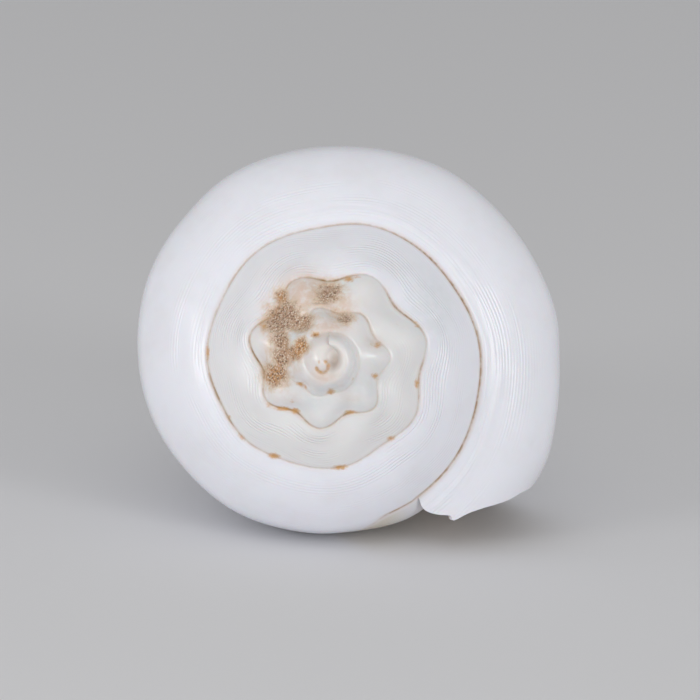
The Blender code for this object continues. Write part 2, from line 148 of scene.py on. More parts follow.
# The lip, seen from the spire: degrees that it lies further back than the end of the suture, at each
# row from the suture to the widest line and on to the tip of the canal
LIP_LINE = ((0.0, 0.0), (0.35, -0.3), (0.75, -0.7), (1.25, -0.4), (1.7, 0.7), (2.2, 2.4), (2.9, 4.9),
            (3.35, 4.9), (3.7, 8.4), (4.3, 12.0), (5.25, 15.8), (6.25, 19.1), (7.1, 22.2), (8.3, 25.5),
            (9.0, 28.0), (14.0, 25.0), (20.0, 16.0), (26.0, 8.0), (32.0, 5.0), (38.0, 5.0))
LIP_SWEEP_TURNS = 0.35

# Wall of the last whorl and the hollow inside it
WALL = 0.0036
CANAL_WALL = 0.0026
LIP_ROUNDING = 0.0004
LIP_BEVEL = math.radians(5.0)
LIP_BEVEL_ROWS = 3.0
CORNER_BLEND = 0.45
WALL_THINS_FROM = 0.30
HOLLOW_TURNS = 1.40
CANAL_HOLLOW_TURNS = 0.24
HOLLOW_SHORTENS = (0.22, 0.72)
HOLLOW_ROUND_FROM = 0.78
HOLLOW_LEAST_GAP = 0.0012

# The callus beside the mouth: thickness, turns over which it comes and goes, and its reach down the side
CALLUS = 0.0016
CALLUS_COMES = (0.915, 0.985)
CALLUS_GOES = (1.04, 1.20)
CALLUS_FADES = (0.20, 0.55)

# How it lies: the spire raised above the level, and the shell rolled about its own axis
SPIRE_RAISED = math.radians(14.7)
ROLL = math.radians(3.2)

# Rows of the outline: the suture is row 0, then the shoulder's edge, the widest line and the canal's tip
SHOULDER_ROW = 7.0
WIDE_ROW = 9.0
SIDE_ROWS = 29.0
LAST_ROW = WIDE_ROW + SIDE_ROWS
ROW_STEP = 0.02

# Fineness of the surface: steps along one turn, and steps down each stretch of the outline
COLUMNS = 144
SHOULDER_STEPS = 112
SUTURE_STEPS = 12
SIDE_STEPS = 128
HOLLOW_COLUMNS = 48
HOLLOW_SPACING = 1.35
SHARP_FROM = math.radians(60.0)

# How dark the line in the suture is, from 0 to 1, by degrees wound back from the right
SEAM_TONES = (
    (-57, 0.75), (-20, 0.85), (0, 0.8), (18, 0.8), (27, 1.0), (36, 0.75), (47, 0.85), (62, 0.55),
    (90, 0.45), (112, 0.35), (130, 0.45), (155, 0.4), (180, 0.5), (195, 0.8), (212, 0.7), (224, 0.45),
    (255, 0.3), (303, 0.3), (322, 0.35), (338, 0.5), (350, 0.7), (362, 0.35), (372, 0.3), (381, 0.6),
    (392, 0.9), (403, 0.75), (412, 0.3), (425, 0.12), (434, 0.5), (443, 0.9), (456, 0.9), (466, 0.35),
    (480, 0.45), (510, 0.55), (520, 0.5), (532, 0.85), (550, 0.9), (562, 0.55), (574, 0.5), (585, 0.9),
    (600, 0.85), (612, 0.55), (626, 0.5), (636, 0.4), (646, 0.85), (656, 0.5), (680, 0.3), (715, 0.12),
    (732, 0.1), (746, 0.35), (770, 0.5), (786, 0.15), (800, 0.5), (815, 0.3), (832, 0.18), (860, 0.08),
    (940, 0.15), (1100, 0.1),
)

# Stains in the sutures, as millimetres right of and above the axis, half width, half height and strength
STAINS = (
    (4.4, 16.4, 1.3, 0.7, 1.0), (6.0, 16.9, 1.2, 0.4, 0.7), (18.2, 7.0, 0.6, 0.8, 0.7),
    (18.2, -5.1, 0.6, 1.0, 0.9), (12.9, -16.3, 1.0, 0.6, 0.8), (4.4, -10.9, 1.4, 0.5, 0.8),
    (-6.7, -10.6, 0.9, 0.7, 0.9), (-9.3, -10.2, 1.6, 0.6, 0.8), (-7.5, -8.7, 0.8, 0.6, 0.8),
    (0.5, -6.5, 0.9, 0.7, 1.0), (9.4, -3.4, 0.9, 0.8, 0.9), (10.1, 2.8, 0.9, 0.7, 1.0),
    (8.9, 2.9, 0.5, 0.9, 0.7), (-5.6, -5.1, 0.9, 0.6, 0.8), (-4.7, -5.6, 0.6, 0.7, 0.6),
    (-13.3, 6.8, 0.9, 0.8, 0.9), (-25.0, 1.3, 0.5, 1.6, 0.8), (-20.5, -11.9, 0.6, 0.8, 0.6),
    (-18.0, -16.2, 0.7, 0.7, 0.7), (-11.1, -20.0, 1.2, 0.7, 1.0), (2.4, -22.4, 1.5, 0.6, 0.9),
    (14.3, 7.2, 0.7, 0.6, 0.6), (4.8, -3.9, 0.7, 0.5, 0.5), (5.7, 0.6, 0.4, 0.9, 0.5),
    (-11.2, -17.1, 0.6, 0.6, 0.5), (-12.4, -9.8, 0.8, 0.9, 0.6), (-3.0, -6.2, 0.6, 0.6, 0.6),
    (-21.9, -4.0, 0.5, 0.8, 0.4), (6.2, 15.0, 0.7, 0.5, 0.35), (12.1, 0.4, 0.35, 1.0, 0.5),
    (-2.6, 5.4, 1.6, 0.5, 0.6), (-1.9, -0.5, 0.3, 0.6, 0.6),
)

# Worn patches, as millimetres right of and above the axis, half width, half height and strength
WORN_PATCHES = (
    (-8.6, 9.2, 3.4, 2.5, 1.0), (-6.4, 7.8, 3.2, 1.9, 1.0), (-10.8, 7.4, 2.2, 2.0, 1.0),
    (-11.4, 9.0, 1.4, 1.8, 0.85), (-10.0, 3.9, 1.8, 2.4, 1.0), (-9.9, 0.6, 2.0, 2.4, 1.0),
    (-10.9, -3.3, 2.4, 2.3, 1.0), (-5.6, 2.7, 1.5, 1.6, 0.95), (-7.0, 1.2, 1.6, 1.4, 1.0),
    (-2.8, 5.0, 0.9, 0.5, 0.9), (0.1, 13.6, 2.8, 2.3, 0.82), (-2.2, 12.2, 2.2, 1.8, 0.45),
    (3.4, 8.6, 1.9, 1.5, 0.75), (1.6, 9.8, 1.4, 1.0, 0.5), (-9.9, 13.0, 1.5, 1.6, 0.95),
    (-8.9, 11.6, 1.2, 1.4, 0.8), (-12.9, 6.6, 0.9, 1.2, 0.6),
)
ORANGE_PATCHES = ((-11.4, -3.0, 2.2, 2.2, 1.0), (-6.0, 2.2, 2.0, 2.2, 1.2), (-10.0, 12.9, 1.5, 1.8, 0.7),
                  (-2.8, 5.0, 1.0, 0.8, 0.8))

# Faint tints round the worn patches, rosy ones and cool ones, in the same way
ROSY_TINTS = ((-5.0, 14.0, 4.2, 3.6, 1.0), (-1.6, 12.4, 2.6, 2.6, 1.0), (2.8, 11.2, 2.8, 1.8, 0.9),
              (0.6, 6.8, 2.8, 1.8, 0.9), (-11.8, 8.2, 2.2, 3.4, 0.7), (-12.4, 1.0, 1.4, 3.6, 0.5),
              (-0.8, -3.8, 2.4, 1.2, 0.6), (-6.3, -2.0, 1.6, 1.4, 0.5), (4.6, -7.9, 2.0, 1.0, 0.4),
              (-8.6, -7.6, 2.4, 1.4, 0.4), (9.3, 3.2, 1.4, 1.2, 0.6))
COOL_TINTS = ((-1.4, 9.2, 2.0, 1.1, 0.9), (-7.3, 4.4, 1.1, 1.1, 0.9), (6.5, -7.0, 4.5, 3.5, 0.5),
              (-2.5, -8.6, 3.5, 2.0, 0.5), (21.0, 10.0, 4.0, 6.0, 0.5))

# How fast spots and tints fade towards their edge
SPOT_FADING = 0.7

# Turns over which the patches and tints of the spire come in, and those over which its white does. Stains
# end just below the widest line, at these shares of the way down the side
SPIRE_COMES = (0.95, 1.0)
EARLY_COMES = (1.2, 1.9)
STAINS_END = (0.0, 0.02)

# The callus seen from the spire starts at this row of the last whorl, at each turn back from the lip. Its
# edge is a thin line of this tone, which comes in over these turns
CALLUS_EDGE = ((0.90, 11.0), (0.9236, 9.0), (0.945, 7.7), (0.9636, 7.1), (0.985, 7.0), (1.0, 7.0))
CALLUS_EDGE_TONE = 0.75
CALLUS_EDGE_COMES = (0.915, 0.97)

# Its tint comes in over this many rows and is full at this turn. Close to the lip it is paler: the turns
# and rows over which it pales, and by how much
CALLUS_EDGE_ROWS = 0.35
CALLUS_TINT_COMES = 0.94
CALLUS_PALES = (0.96, 0.99)
CALLUS_PALE_ROWS = 3.0
CALLUS_PALENESS = 0.8

# The first whorl is a ring that is open to one side: its middle and radius, the open side, how the
# groove ends there, and the width and depth of the groove
NUCLEUS_RING = (-0.00119, -0.00156, 0.00122)
NUCLEUS_OPEN = math.radians(128.0)
NUCLEUS_OPENS = (0.03, 0.30)
NUCLEUS_GROOVE_WIDTH = 0.46 * MM
NUCLEUS_GROOVE = 0.00022

# The hollow beside it: middle, half width and half height, and depth
NUCLEUS_HOLLOW = (0.00135, -0.0001, 0.0014, 0.0026)
NUCLEUS_HOLLOW_DEPTH = 0.00040

# Where the edge of the dome turns round and where its relief comes in, as shares of the way to its rim
TIP_BLENDS = (1.0, 0.55)
TIP_RELIEF_COMES = (1.0, 0.8)

# Colour on the tip: darkness of its groove, width of the line in it, its stain and the painted shade in the
# hollow beside the first whorl, and the distance down the outline that its patterns read
TIP_TONE = 0.6
TIP_LINE_WIDTH = 0.6 * MM
TIP_STAIN = 0.52
TIP_PAINTED_SHADE = 0.9
TIP_ACROSS = 0.002

# Distance from the suture that is given to parts that have none
FAR_FROM_SEAM = 0.02

# Growth lines and wrinkles: how fast their pattern changes along a turn and down a metre of the outline
GROWTH_DOWN = 18.0
WRINKLES_PER_TURN = 26.0
WRINKLES_DOWN = 620.0

# The welt beside the last suture: its width, its middle in widths from the suture, and the turns over
# which it ends
WELT_WIDTH = 2.3 * MM
WELT_MIDDLE = 1.4
WELT_ENDS = (0.30, 0.60)

# The groove of the seam: its width, the turns over which it gets shallow towards the tip, and how far
# from it the welt and the growth lines come in
SEAM_WIDTH = 0.35 * MM
SEAM_SHALLOWS = (2.9, 3.8)
CLEAR_OF_SEAM = (0.3 * MM, 1.6 * MM)

# Sizes of the patterns in the finish, from the faint clouds to the beads and pits of the worn patches
CLOUD_SIZE = 9.0 * MM
BLOTCH_SIZE = 2.4 * MM
GRAIN_SIZE = 0.7 * MM
SPECK_SIZE = 0.35 * MM
SPECK_HEIGHT = 0.008 * MM
WORN_GRAIN = 1.1 * MM
BEAD_SIZE = 0.42 * MM
PIT_SPACING = 0.60 * MM
PIT_DEPTH = 0.10 * MM

# The dirt in the seam: half the line's width where it is thin and where it is thick, the part of it that
# is full, and the reach of the haze. Stains fade over these distances from the seam
SEAM_LINE = (0.28 * MM, 0.48 * MM)
SEAM_LINE_CORE = 0.02 * MM
SEAM_HAZE = 1.2 * MM
STAIN_DRAWN = (0.2 * MM, 1.8 * MM)

# Threads: how often they break along a turn and down a metre of the outline, how far they wander, in
# threads, and where they fade: a mark, its two values there, and the share of the height at each
BREAKS_PER_TURN = 11.0
BREAKS_DOWN = 300.0
THREAD_WANDER = 0.8
THREAD_FADES = (
    ("seam", 0.3 * MM, 1.2 * MM, 0.0, 1.0), ("turn", 1.9, 2.3, 1.0, 0.0), ("turn", 0.93, 1.0, 0.5, 1.0),
    ("inside", 0.0, 0.1, 1.0, 0.0), ("down", 0.0, 0.2, 1.0, 0.0), ("across", 7.0 * MM, 14.0 * MM, 1.0, 0.25),
)

# The tooth of the floor's paper
PAPER_TOOTH = 1.5 * MM
PAPER_TOOTH_DEPTH = 0.02 * MM

# Lights: name, direction from the start of the axis in the shell's own frame, distance, width, height
# and the setting that holds the power
LIGHTS = (
    ("left light", (-0.74, 0.08, 0.67), 0.9, 0.35, 0.42, "side_light"),
    ("right light", (0.70, 0.05, 0.71), 1.0, 0.35, 0.46, "side_light"),
    ("front light", (0.0, 0.62, 0.78), 1.3, 0.9, 0.9, "front_light"),
    ("fill light", (0.0, -0.05, 1.0), 2.4, 0.6, 0.6, "fill_light"),
)

# The camera looks straight down the shell's axis, from a little to the side of it. The width of the view
# is measured this far below the start of the axis, near the widest line
CAMERA_ASIDE = (0.00449, 0.00188)
VIEW_DEPTH = 0.04
SENSOR_WIDTH = 36.0

# Kinds and settings of nodes that both trees use again and again
MATH = "ShaderNodeMath"
RANGE = "ShaderNodeMapRange"
NOISE = "ShaderNodeTexNoise"
MIX = "ShaderNodeMix"
MULTIPLY = {"operation": "MULTIPLY"}
MULTIPLY_ADD = {"operation": "MULTIPLY_ADD"}
SUBTRACT = {"operation": "SUBTRACT"}
EASED = {"interpolation_type": "SMOOTHSTEP"}
COLOURS = {"data_type": "RGBA"}


def smooth_step(low, high, value):
    """Rises from 0 at low to 1 at high with level ends."""
    share = np.clip((value - low) / (high - low), 0.0, 1.0)
    return share * share * (3.0 - 2.0 * share)


def smooth_larger(first, second, softness):
    """The larger of two lengths, with a fillet where they cross."""
    return 0.5 * (first + second + np.sqrt((first - second) ** 2 + softness ** 2))


def hermite(start, end, start_run, end_run, share):
    """One smooth stretch between two values that leaves and arrives at given rates."""
    square = share * share
    cube = square * share
    return ((2.0 * cube - 3.0 * square + 1.0) * start + (cube - 2.0 * square + share) * start_run
            + (3.0 * square - 2.0 * cube) * end + (cube - square) * end_run)


def curve_through(points, value):
    """Height at a value of a smooth curve through given points, level before the first of them."""
    places, heights = np.array(points, dtype=float).T
    slopes = np.gradient(heights, places)
    slopes[0] = 0.0
    value = np.clip(value, places[0], places[-1])
    piece = np.clip(np.searchsorted(places, value, side="right") - 1, 0, len(places) - 2)
    width = places[piece + 1] - places[piece]
    return hermite(heights[piece], heights[piece + 1], slopes[piece] * width, slopes[piece + 1] * width,
                   (value - places[piece]) / width)


def degrees_wound(turn):
    """Degrees wound back from the right, as seen from the spire."""
    return np.degrees(LIP_ANGLE + FULL_TURN * turn)


def knob_ripple(turn):
    """Share by which the suture's radius swells at a knob and draws in between two."""
    return curve_through(KNOBS, degrees_wound(turn))


def suture(turn, knobs=True):
    """Radius and depth of the suture."""
    shrink = SUTURE_RATE ** -turn
    swell = 1.0 + knob_ripple(turn) if knobs else 1.0
    raised = TIP_RAISE * smooth_step(TIP_FROM, TIP_TO, turn)
    fullness = curve_through(SUTURE_FULLNESS, turn)
    return SUTURE_RADIUS * shrink * fullness * swell, SUTURE_DEPTH * shrink - raised


def wide_line(turn):
    """Radius and depth of the widest line, the periphery, of a whorl."""
    early = np.maximum(turn, 1.0)
    next_radius, next_depth = suture(early - 1.0)
    shrink = SUTURE_RATE ** (1.0 - early)
    early_radius = next_radius + UNDER_SUTURE_OUT * shrink
    early_depth = next_depth + UNDER_SUTURE_DOWN * shrink
    swell_share = np.clip((turn - SWELL_START) / SWELL_TURNS, 0.0, 1.0)
    swell = BACK_SWELL * np.sin(FULL_TURN * swell_share)
    flare = LIP_FLARE * (1.0 - smooth_step(0.0, FLARE_TURNS, turn))
    wave = curve_through(WHORL_WAVES, degrees_wound(turn))
    late_radius = LIP_RADIUS * BODY_RADIUS_RATE ** -turn + swell + flare + wave
    late_depth = LIP_DEPTH * BODY_DEPTH_RATE ** -turn
    last_whorl = turn < 1.0
    return np.where(last_whorl, late_radius, early_radius), np.where(last_whorl, late_depth, early_depth)


def shoulder_line(turn):
    """Radius and depth of the line on which the next whorl's suture runs, or would run."""
    next_radius, next_depth = suture(np.maximum(turn, 1.0) - 1.0)
    start_radius, start_depth = suture(turn, knobs=False)
    wide_radius, wide_depth = wide_line(turn)
    late_radius = start_radius + SHOULDER_REACH * (wide_radius - start_radius)
    late_depth = start_depth + SHOULDER_DROP * (wide_depth - start_depth)
    last_whorl = turn < 1.0
    return np.where(last_whorl, late_radius, next_radius), np.where(last_whorl, late_depth, next_depth)


def side_radius(turn, depth):
    """Radius below the widest line: the rounded base, then the canal and the pillar."""
    wide_radius, wide_depth = wide_line(turn)
    scale = wide_radius / LIP_RADIUS
    base = scale * curve_through(BASE_RADII, (depth - wide_depth) / scale)
    pillar = PILLAR_TIP_RADIUS + (PILLAR_TOP_RADIUS - PILLAR_TIP_RADIUS) * (
        1.0 - smooth_step(PILLAR_TOP_DEPTH, PILLAR_LOW_DEPTH, depth))
    pillar = pillar * (1.0 - PILLAR_THINNING * np.clip(turn - 1.0, 0.0, 1.0))
    canal = CANAL_TIP_RADIUS + CANAL_WIDENING * (TIP_DEPTH - depth)
    unwound = np.clip(1.0 - turn, 0.0, 1.0) ** CANAL_SHAPE
    neck = pillar + (canal - pillar) * unwound
    radius = smooth_larger(base, neck, NECK_SOFTNESS * scale)
    return radius + pillar_folds(turn, depth)


def pillar_folds(turn, depth):
    """Rounded ridges that wind down the pillar inside the mouth."""
    fold_number = (depth - FOLD_FIRST_DEPTH + FOLD_RISE_PER_TURN * (turn - 1.0)) / FOLD_SPACING
    ridge = 0.5 + 0.5 * np.cos(FULL_TURN * fold_number)
    counted = np.where(np.abs(fold_number - 0.5 * (FOLD_COUNT - 1)) < 0.5 * FOLD_COUNT, 1.0, 0.0)
    return FOLD_HEIGHT * counted * ridge * smooth_step(*FOLDS_START, turn)


def callus_share(turn, row):
    """Where the glaze is laid down on the earlier whorl beside the mouth, from 0 to 1."""
    down_side = (row - WIDE_ROW) / SIDE_ROWS
    across = smooth_step(SHOULDER_ROW, WIDE_ROW, row) * (1.0 - smooth_step(*CALLUS_FADES, down_side))
    along = smooth_step(*CALLUS_COMES, turn) * (1.0 - smooth_step(*CALLUS_GOES, turn))
    return across * along


def callus_edge(turn):
    """Row of the outline at which the callus starts on the last whorl, before the lip."""
    return curve_through(CALLUS_EDGE, turn)


def outline(turn, row):
    """Radius and depth of the outer surface at a turn and a row, over arrays of both."""
    suture_radius, suture_depth = suture(turn)
    next_radius, next_depth = shoulder_line(turn)
    wide_depth = wide_line(turn)[1]
    steepness = SLOPE_AT_SHOULDER + (SLOPE_IN_SPIRE - SLOPE_AT_SHOULDER) * smooth_step(1.0, 1.4, turn)

    upper = np.clip(row / SHOULDER_ROW, 0.0, 1.0)
    inner_ripple = knob_ripple(turn) * suture_radius
    own_ripple = knob_ripple(np.maximum(turn - 1.0, 0.0)) * next_radius
    span = np.hypot(next_radius - suture_radius, next_depth - suture_depth)
    upper_radius = hermite(suture_radius - inner_ripple, next_radius - own_ripple,
                           span * math.cos(SLOPE_AT_SUTURE), span * np.cos(steepness), upper)
    upper_radius = (upper_radius + inner_ripple * (1.0 - smooth_step(0.0, KNOB_FOOT, upper))
                    + own_ripple * smooth_step(KNOB_TOP, 1.0, upper))
    upper_depth = hermite(suture_depth, next_depth, span * math.sin(SLOPE_AT_SUTURE),
                          span * np.sin(steepness), upper)
    upper_depth = upper_depth - KNOB_LIFT * own_ripple * np.sin(math.pi * upper ** KNOB_LOWNESS)

    middle = np.clip((row - SHOULDER_ROW) / (WIDE_ROW - SHOULDER_ROW), 0.0, 1.0)
    widest_radius = side_radius(turn, wide_depth)
    span = np.hypot(widest_radius - next_radius, wide_depth - next_depth)
    middle_radius = hermite(next_radius, widest_radius, span * np.cos(steepness), 0.0, middle)
    middle_depth = hermite(next_depth, wide_depth, span * np.sin(steepness), span, middle)

    lower = np.clip((row - WIDE_ROW) / SIDE_ROWS, 0.0, 1.0)
    lower_depth = wide_depth + (TIP_DEPTH - wide_depth) * lower
    lower_radius = side_radius(turn, lower_depth)

    on_shoulder = row <= SHOULDER_ROW
    above_wide = row <= WIDE_ROW
    radius = np.where(on_shoulder, upper_radius, np.where(above_wide, middle_radius, lower_radius))
    depth = np.where(on_shoulder, upper_depth, np.where(above_wide, middle_depth, lower_depth))
    return radius + CALLUS * callus_share(turn, row), depth


def swept_turn(turn, row):
    """The lip isn't straight: it lies further back at the widest line than at either end."""
    sweep = np.radians(curve_through(LIP_LINE, row))
    return turn + sweep / FULL_TURN * (1.0 - smooth_step(0.0, LIP_SWEEP_TURNS, turn))


def wind(turn, radius, depth):
    """A point on the shell in its own frame, with the spire up."""
    angle = LIP_ANGLE + FULL_TURN * turn
    return np.stack((radius * np.cos(angle), radius * np.sin(angle), -depth), axis=-1)


def unwind(points):
    """The turn, radius and depth of points in the shell's own frame."""
    turn = (np.arctan2(points[..., 1], points[..., 0]) - LIP_ANGLE) / FULL_TURN
    return np.stack((turn, np.hypot(points[..., 0], points[..., 1]), -points[..., 2]), axis=-1)


def lying_matrix():
    """Turns the shell from spire up to how it lies."""
    return Matrix.Rotation(math.pi / 2.0 - SPIRE_RAISED, 3, "X") @ Matrix.Rotation(ROLL, 3, "Z")


def axis_place():
    """Where the start of the shell's axis lies, from the outer surface and the solid's own box."""
    turns, rows = np.meshgrid(np.linspace(0.0, 2.0, 2 * COLUMNS + 1), np.linspace(0.0, LAST_ROW, 153),
                              indexing="ij")
    turns = swept_turn(turns, rows)
    points = wind(turns, *outline(turns, rows)).reshape(-1, 3) @ np.array(lying_matrix()).T
    low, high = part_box("shell")
    middle = 0.5 * (Vector(low) + Vector(high))
    return Vector((middle.x - 0.5 * (points[:, 0].min() + points[:, 0].max()),
                   high[1] - points[:, 1].max(), high[2] - points[:, 2].max()))


def soft_spots(x, y, spots):
    """Strength of round or oval spots at places round the axis, given in millimetres."""
    strength = np.zeros_like(x)
    for right, up, half_width, half_height, share in spots:
        reach = np.hypot((x / MM - right) / half_width, (y / MM - up) / half_height)
        strength = np.maximum(strength, share * np.exp(-SPOT_FADING * reach ** 2))
    return strength


class Surface:
    """Sheets of points that are joined along shared edges into one closed surface."""

    def __init__(self):
        """Starts without any sheets."""
        self.count = 0
        self.points = []
        self.vertices = []
        self.marks = []
        self.faces = []

    def add(self, points, marks, joined=()):
        """Adds a sheet. joined pairs a part of the sheet with the points that it shares."""
        ids = self.count + np.arange(points[..., 0].size).reshape(points.shape[:-1])
        vertices = ids.copy()
        known = np.concatenate(self.vertices) if self.vertices else None
        for part, others in joined:
            from_before = np.max(others) < self.count
            vertices[part] = known[others] if from_before else vertices.flat[others - self.count]
        self.count += ids.size
        self.points.append(points.reshape(-1, 3))
        self.vertices.append(vertices.reshape(-1))
        self.marks.append({name: np.broadcast_to(mark, ids.shape).reshape(-1)
                           for name, mark in marks.items()})
        return ids

    def add_quads(self, ids, outward_down):
        """Faces between the neighbouring points of a sheet."""
        quads = np.stack((ids[:-1, :-1], ids[1:, :-1], ids[1:, 1:], ids[:-1, 1:]), axis=-1).reshape(-1, 4)
        self.faces.extend((quads[:, ::-1] if outward_down else quads).tolist())

    def mesh(self, name):
        """The joined sheets as one mesh, with a mark of each kind at every corner."""
        points = np.concatenate(self.points)
        used, vertices = np.unique(np.concatenate(self.vertices), return_inverse=True)
        faces = []
        corners = []
        for face in self.faces:
            numbers = [int(number) for number in vertices[face]]
            kept = [index for index, number in enumerate(numbers) if number != numbers[index - 1]]
            if len({numbers[index] for index in kept}) > 2:
                faces.append([numbers[index] for index in kept])
                corners.extend(face[index] for index in kept)
        mesh = bpy.data.meshes.new(name)
        mesh.from_pydata(points[used].tolist(), [], faces)
        for mark in self.marks[0]:
            values = np.concatenate([marks[mark] for marks in self.marks])[corners]
            attribute = mesh.attributes.new(mark, "FLOAT", "CORNER")
            attribute.data.foreach_set("value", values.astype(np.float32))
        mesh.shade_smooth()
        return mesh


def surface_marks(turn, row, points, across=FAR_FROM_SEAM, seam=FAR_FROM_SEAM, tone=0.0, inside=0.0):
    """What the material and the relief read at each point of a sheet."""
    x, y = points[..., 0], points[..., 1]
    down = np.clip((row - WIDE_ROW) / SIDE_ROWS, 0.0, 1.0)
    outside = 1.0 - inside
    on_spire = smooth_step(*SPIRE_COMES, turn) * outside
    glazed = smooth_step(0.0, CALLUS_EDGE_ROWS, row - callus_edge(turn))
    glazed = glazed * smooth_step(CALLUS_EDGE[0][0], CALLUS_TINT_COMES, turn)
    at_lip = smooth_step(*CALLUS_PALES, turn)
    at_lip = at_lip * (1.0 - smooth_step(WIDE_ROW, WIDE_ROW + CALLUS_PALE_ROWS, row))
    spots = (("worn", WORN_PATCHES), ("orange", ORANGE_PATCHES), ("rosy", ROSY_TINTS), ("cool", COOL_TINTS))
    return {
        "turn": turn,
        "across": across,
        "seam": seam,
        "tone": tone,
        "inside": inside,
        "early": smooth_step(*EARLY_COMES, turn) * outside,
        **{name: soft_spots(x, y, places) * on_spire for name, places in spots},
        "stain": soft_spots(x, y, STAINS) * outside * (1.0 - smooth_step(*STAINS_END, down)),
        "shade": 0.0,
        "callus": glazed * (1.0 - smooth_step(*CALLUS_FADES, down)) * (1.0 - CALLUS_PALENESS * at_lip),
        "down": down,
    }


def outer_sheet(turns, rows):
    """Turn, row, points and length down the outline for a sheet of the outer surface."""
    turn, row = np.meshgrid(turns, rows, indexing="ij")
    turn = swept_turn(turn, row)
    radius, depth = outline(turn, row)
    steps = np.hypot(np.diff(radius, axis=1), np.diff(depth, axis=1))
    across = np.concatenate((np.zeros((len(turns), 1)), np.cumsum(steps, axis=1)), axis=1)
    return turn, row, wind(turn, radius, depth), across


def outer_rows():
    """Rows of the outer surface, from the suture to the tip of the canal."""
    return np.concatenate((np.linspace(0.0, SHOULDER_ROW, SHOULDER_STEPS + 1),
                           np.linspace(SHOULDER_ROW, WIDE_ROW, SUTURE_STEPS + 1)[1:],
                           np.linspace(WIDE_ROW, LAST_ROW, SIDE_STEPS + 1)[1:]))


def hollow_sheets(shares):
    """Turns, rows and points of the hollow's outer wall and of its inner wall below the widest line."""
    rows = outer_rows()
    wide = SHOULDER_STEPS + SUTURE_STEPS
    share, row = np.meshgrid(shares, rows, indexing="ij")
    into_canal = smooth_step(*HOLLOW_SHORTENS, (row - WIDE_ROW) / SIDE_ROWS)
    depth_in = share * (HOLLOW_TURNS + (CANAL_HOLLOW_TURNS - HOLLOW_TURNS) * into_canal)
    bevel = np.sin(math.pi * np.sqrt(np.clip(row / LIP_BEVEL_ROWS, 0.0, 1.0))) * (1.0 - share) ** 4
    turn = swept_turn(depth_in, row) + LIP_BEVEL / FULL_TURN * bevel
    radius, depth = outline(turn, row)

    ahead_radius, ahead_depth = outline(turn, np.minimum(row + ROW_STEP, LAST_ROW))
    behind_radius, behind_depth = outline(turn, np.maximum(row - ROW_STEP, 0.0))
    along_radius = ahead_radius - behind_radius
    along_depth = ahead_depth - behind_depth
    length = np.hypot(along_radius, along_depth)
    thinning = smooth_step(WALL_THINS_FROM, 1.0, (row - WIDE_ROW) / SIDE_ROWS)
    wall = WALL + (CANAL_WALL - WALL) * thinning
    wall_radius = radius - wall * along_depth / length
    wall_depth = depth + wall * along_radius / length
    wall_depth[:, -1] = depth[:, -1]

    corner_turn = 1.0 + depth_in[:, 0]
    corner_radius, corner_depth = outline(corner_turn, np.full_like(corner_turn, WIDE_ROW))
    fade = 1.0 - smooth_step(0.0, CORNER_BLEND * WIDE_ROW, row)
    wall_radius = wall_radius + fade * (corner_radius - wall_radius[:, 0])[:, None]
    wall_depth = wall_depth + fade * (corner_depth - wall_depth[:, 0])[:, None]

    inner_turn = 1.0 + depth_in[:, wide:]
    inner_radius, inner_depth = outline(inner_turn, row[:, wide:])
    wall_radius[:, wide:] = np.maximum(wall_radius[:, wide:], inner_radius + HOLLOW_LEAST_GAP)
    outer = wind(turn, wall_radius, wall_depth)
    inner = wind(inner_turn, inner_radius, inner_depth)

    end_share = np.clip((shares - HOLLOW_ROUND_FROM) / (1.0 - HOLLOW_ROUND_FROM), 0.0, 1.0)
    open_share = np.sqrt(1.0 - end_share ** 2)[:, None, None]
    middle = 0.5 * (outer[:, wide:] + inner)
    all_middle = np.concatenate((np.repeat(middle[:, :1], wide, axis=1), middle), axis=1)
    outer = all_middle + (outer - all_middle) * open_share
    inner = middle + (inner - middle) * open_share
    return turn, row, outer, inner_turn, row[:, wide:], inner


def tip_sheet(rim):
    """Rings of points that close the spire in a low dome, with the first whorl coiled on it."""
    middle = rim.mean(axis=0)
    reach = np.linalg.norm(rim[:, :2] - middle[:2], axis=1).mean()
    start = math.atan2(rim[0, 1] - middle[1], rim[0, 0] - middle[0])
    angles = start + FULL_TURN * np.arange(len(rim)) / len(rim)
    circle = middle + reach * np.stack((np.cos(angles), np.sin(angles), np.zeros(len(rim))), axis=-1)
    centre = middle + np.array((NUCLEUS_OFFSET[0], NUCLEUS_OFFSET[1], DOME_RISE))
    share = 1.0 - np.arange(DOME_RINGS + 1)[:, None, None] / (DOME_RINGS + 1.0)
    edge = rim + (circle - rim) * smooth_step(*TIP_BLENDS, share)
    rings = centre + (edge - centre) * share
    rings[..., 2] = centre[2] + (edge[..., 2] - centre[2]) * share[..., 0] ** 2
    rings = np.concatenate((rings, np.broadcast_to(centre, (1, len(rim), 3))))

    ring_x, ring_y, ring_radius = NUCLEUS_RING
    x, y = rings[..., 0] - ring_x, rings[..., 1] - ring_y
    off_ring = np.hypot(x, y) - ring_radius
    facing = 0.5 - 0.5 * np.cos(np.arctan2(y, x) - NUCLEUS_OPEN)
    groove = np.exp(-(off_ring / NUCLEUS_GROOVE_WIDTH) ** 2) * smooth_step(*NUCLEUS_OPENS, facing)
    hollow_x, hollow_y, half_width, half_height = NUCLEUS_HOLLOW
    reach = np.hypot((rings[..., 0] - hollow_x) / half_width, (rings[..., 1] - hollow_y) / half_height)
    hollow = np.exp(-reach ** 2)
    inner = smooth_step(*TIP_RELIEF_COMES, share[..., 0])
    inner = np.concatenate((inner, np.ones((1, 1))))
    rings[..., 2] -= inner * (NUCLEUS_GROOVE * groove + NUCLEUS_HOLLOW_DEPTH * hollow)
    return rings, groove * inner, hollow * inner


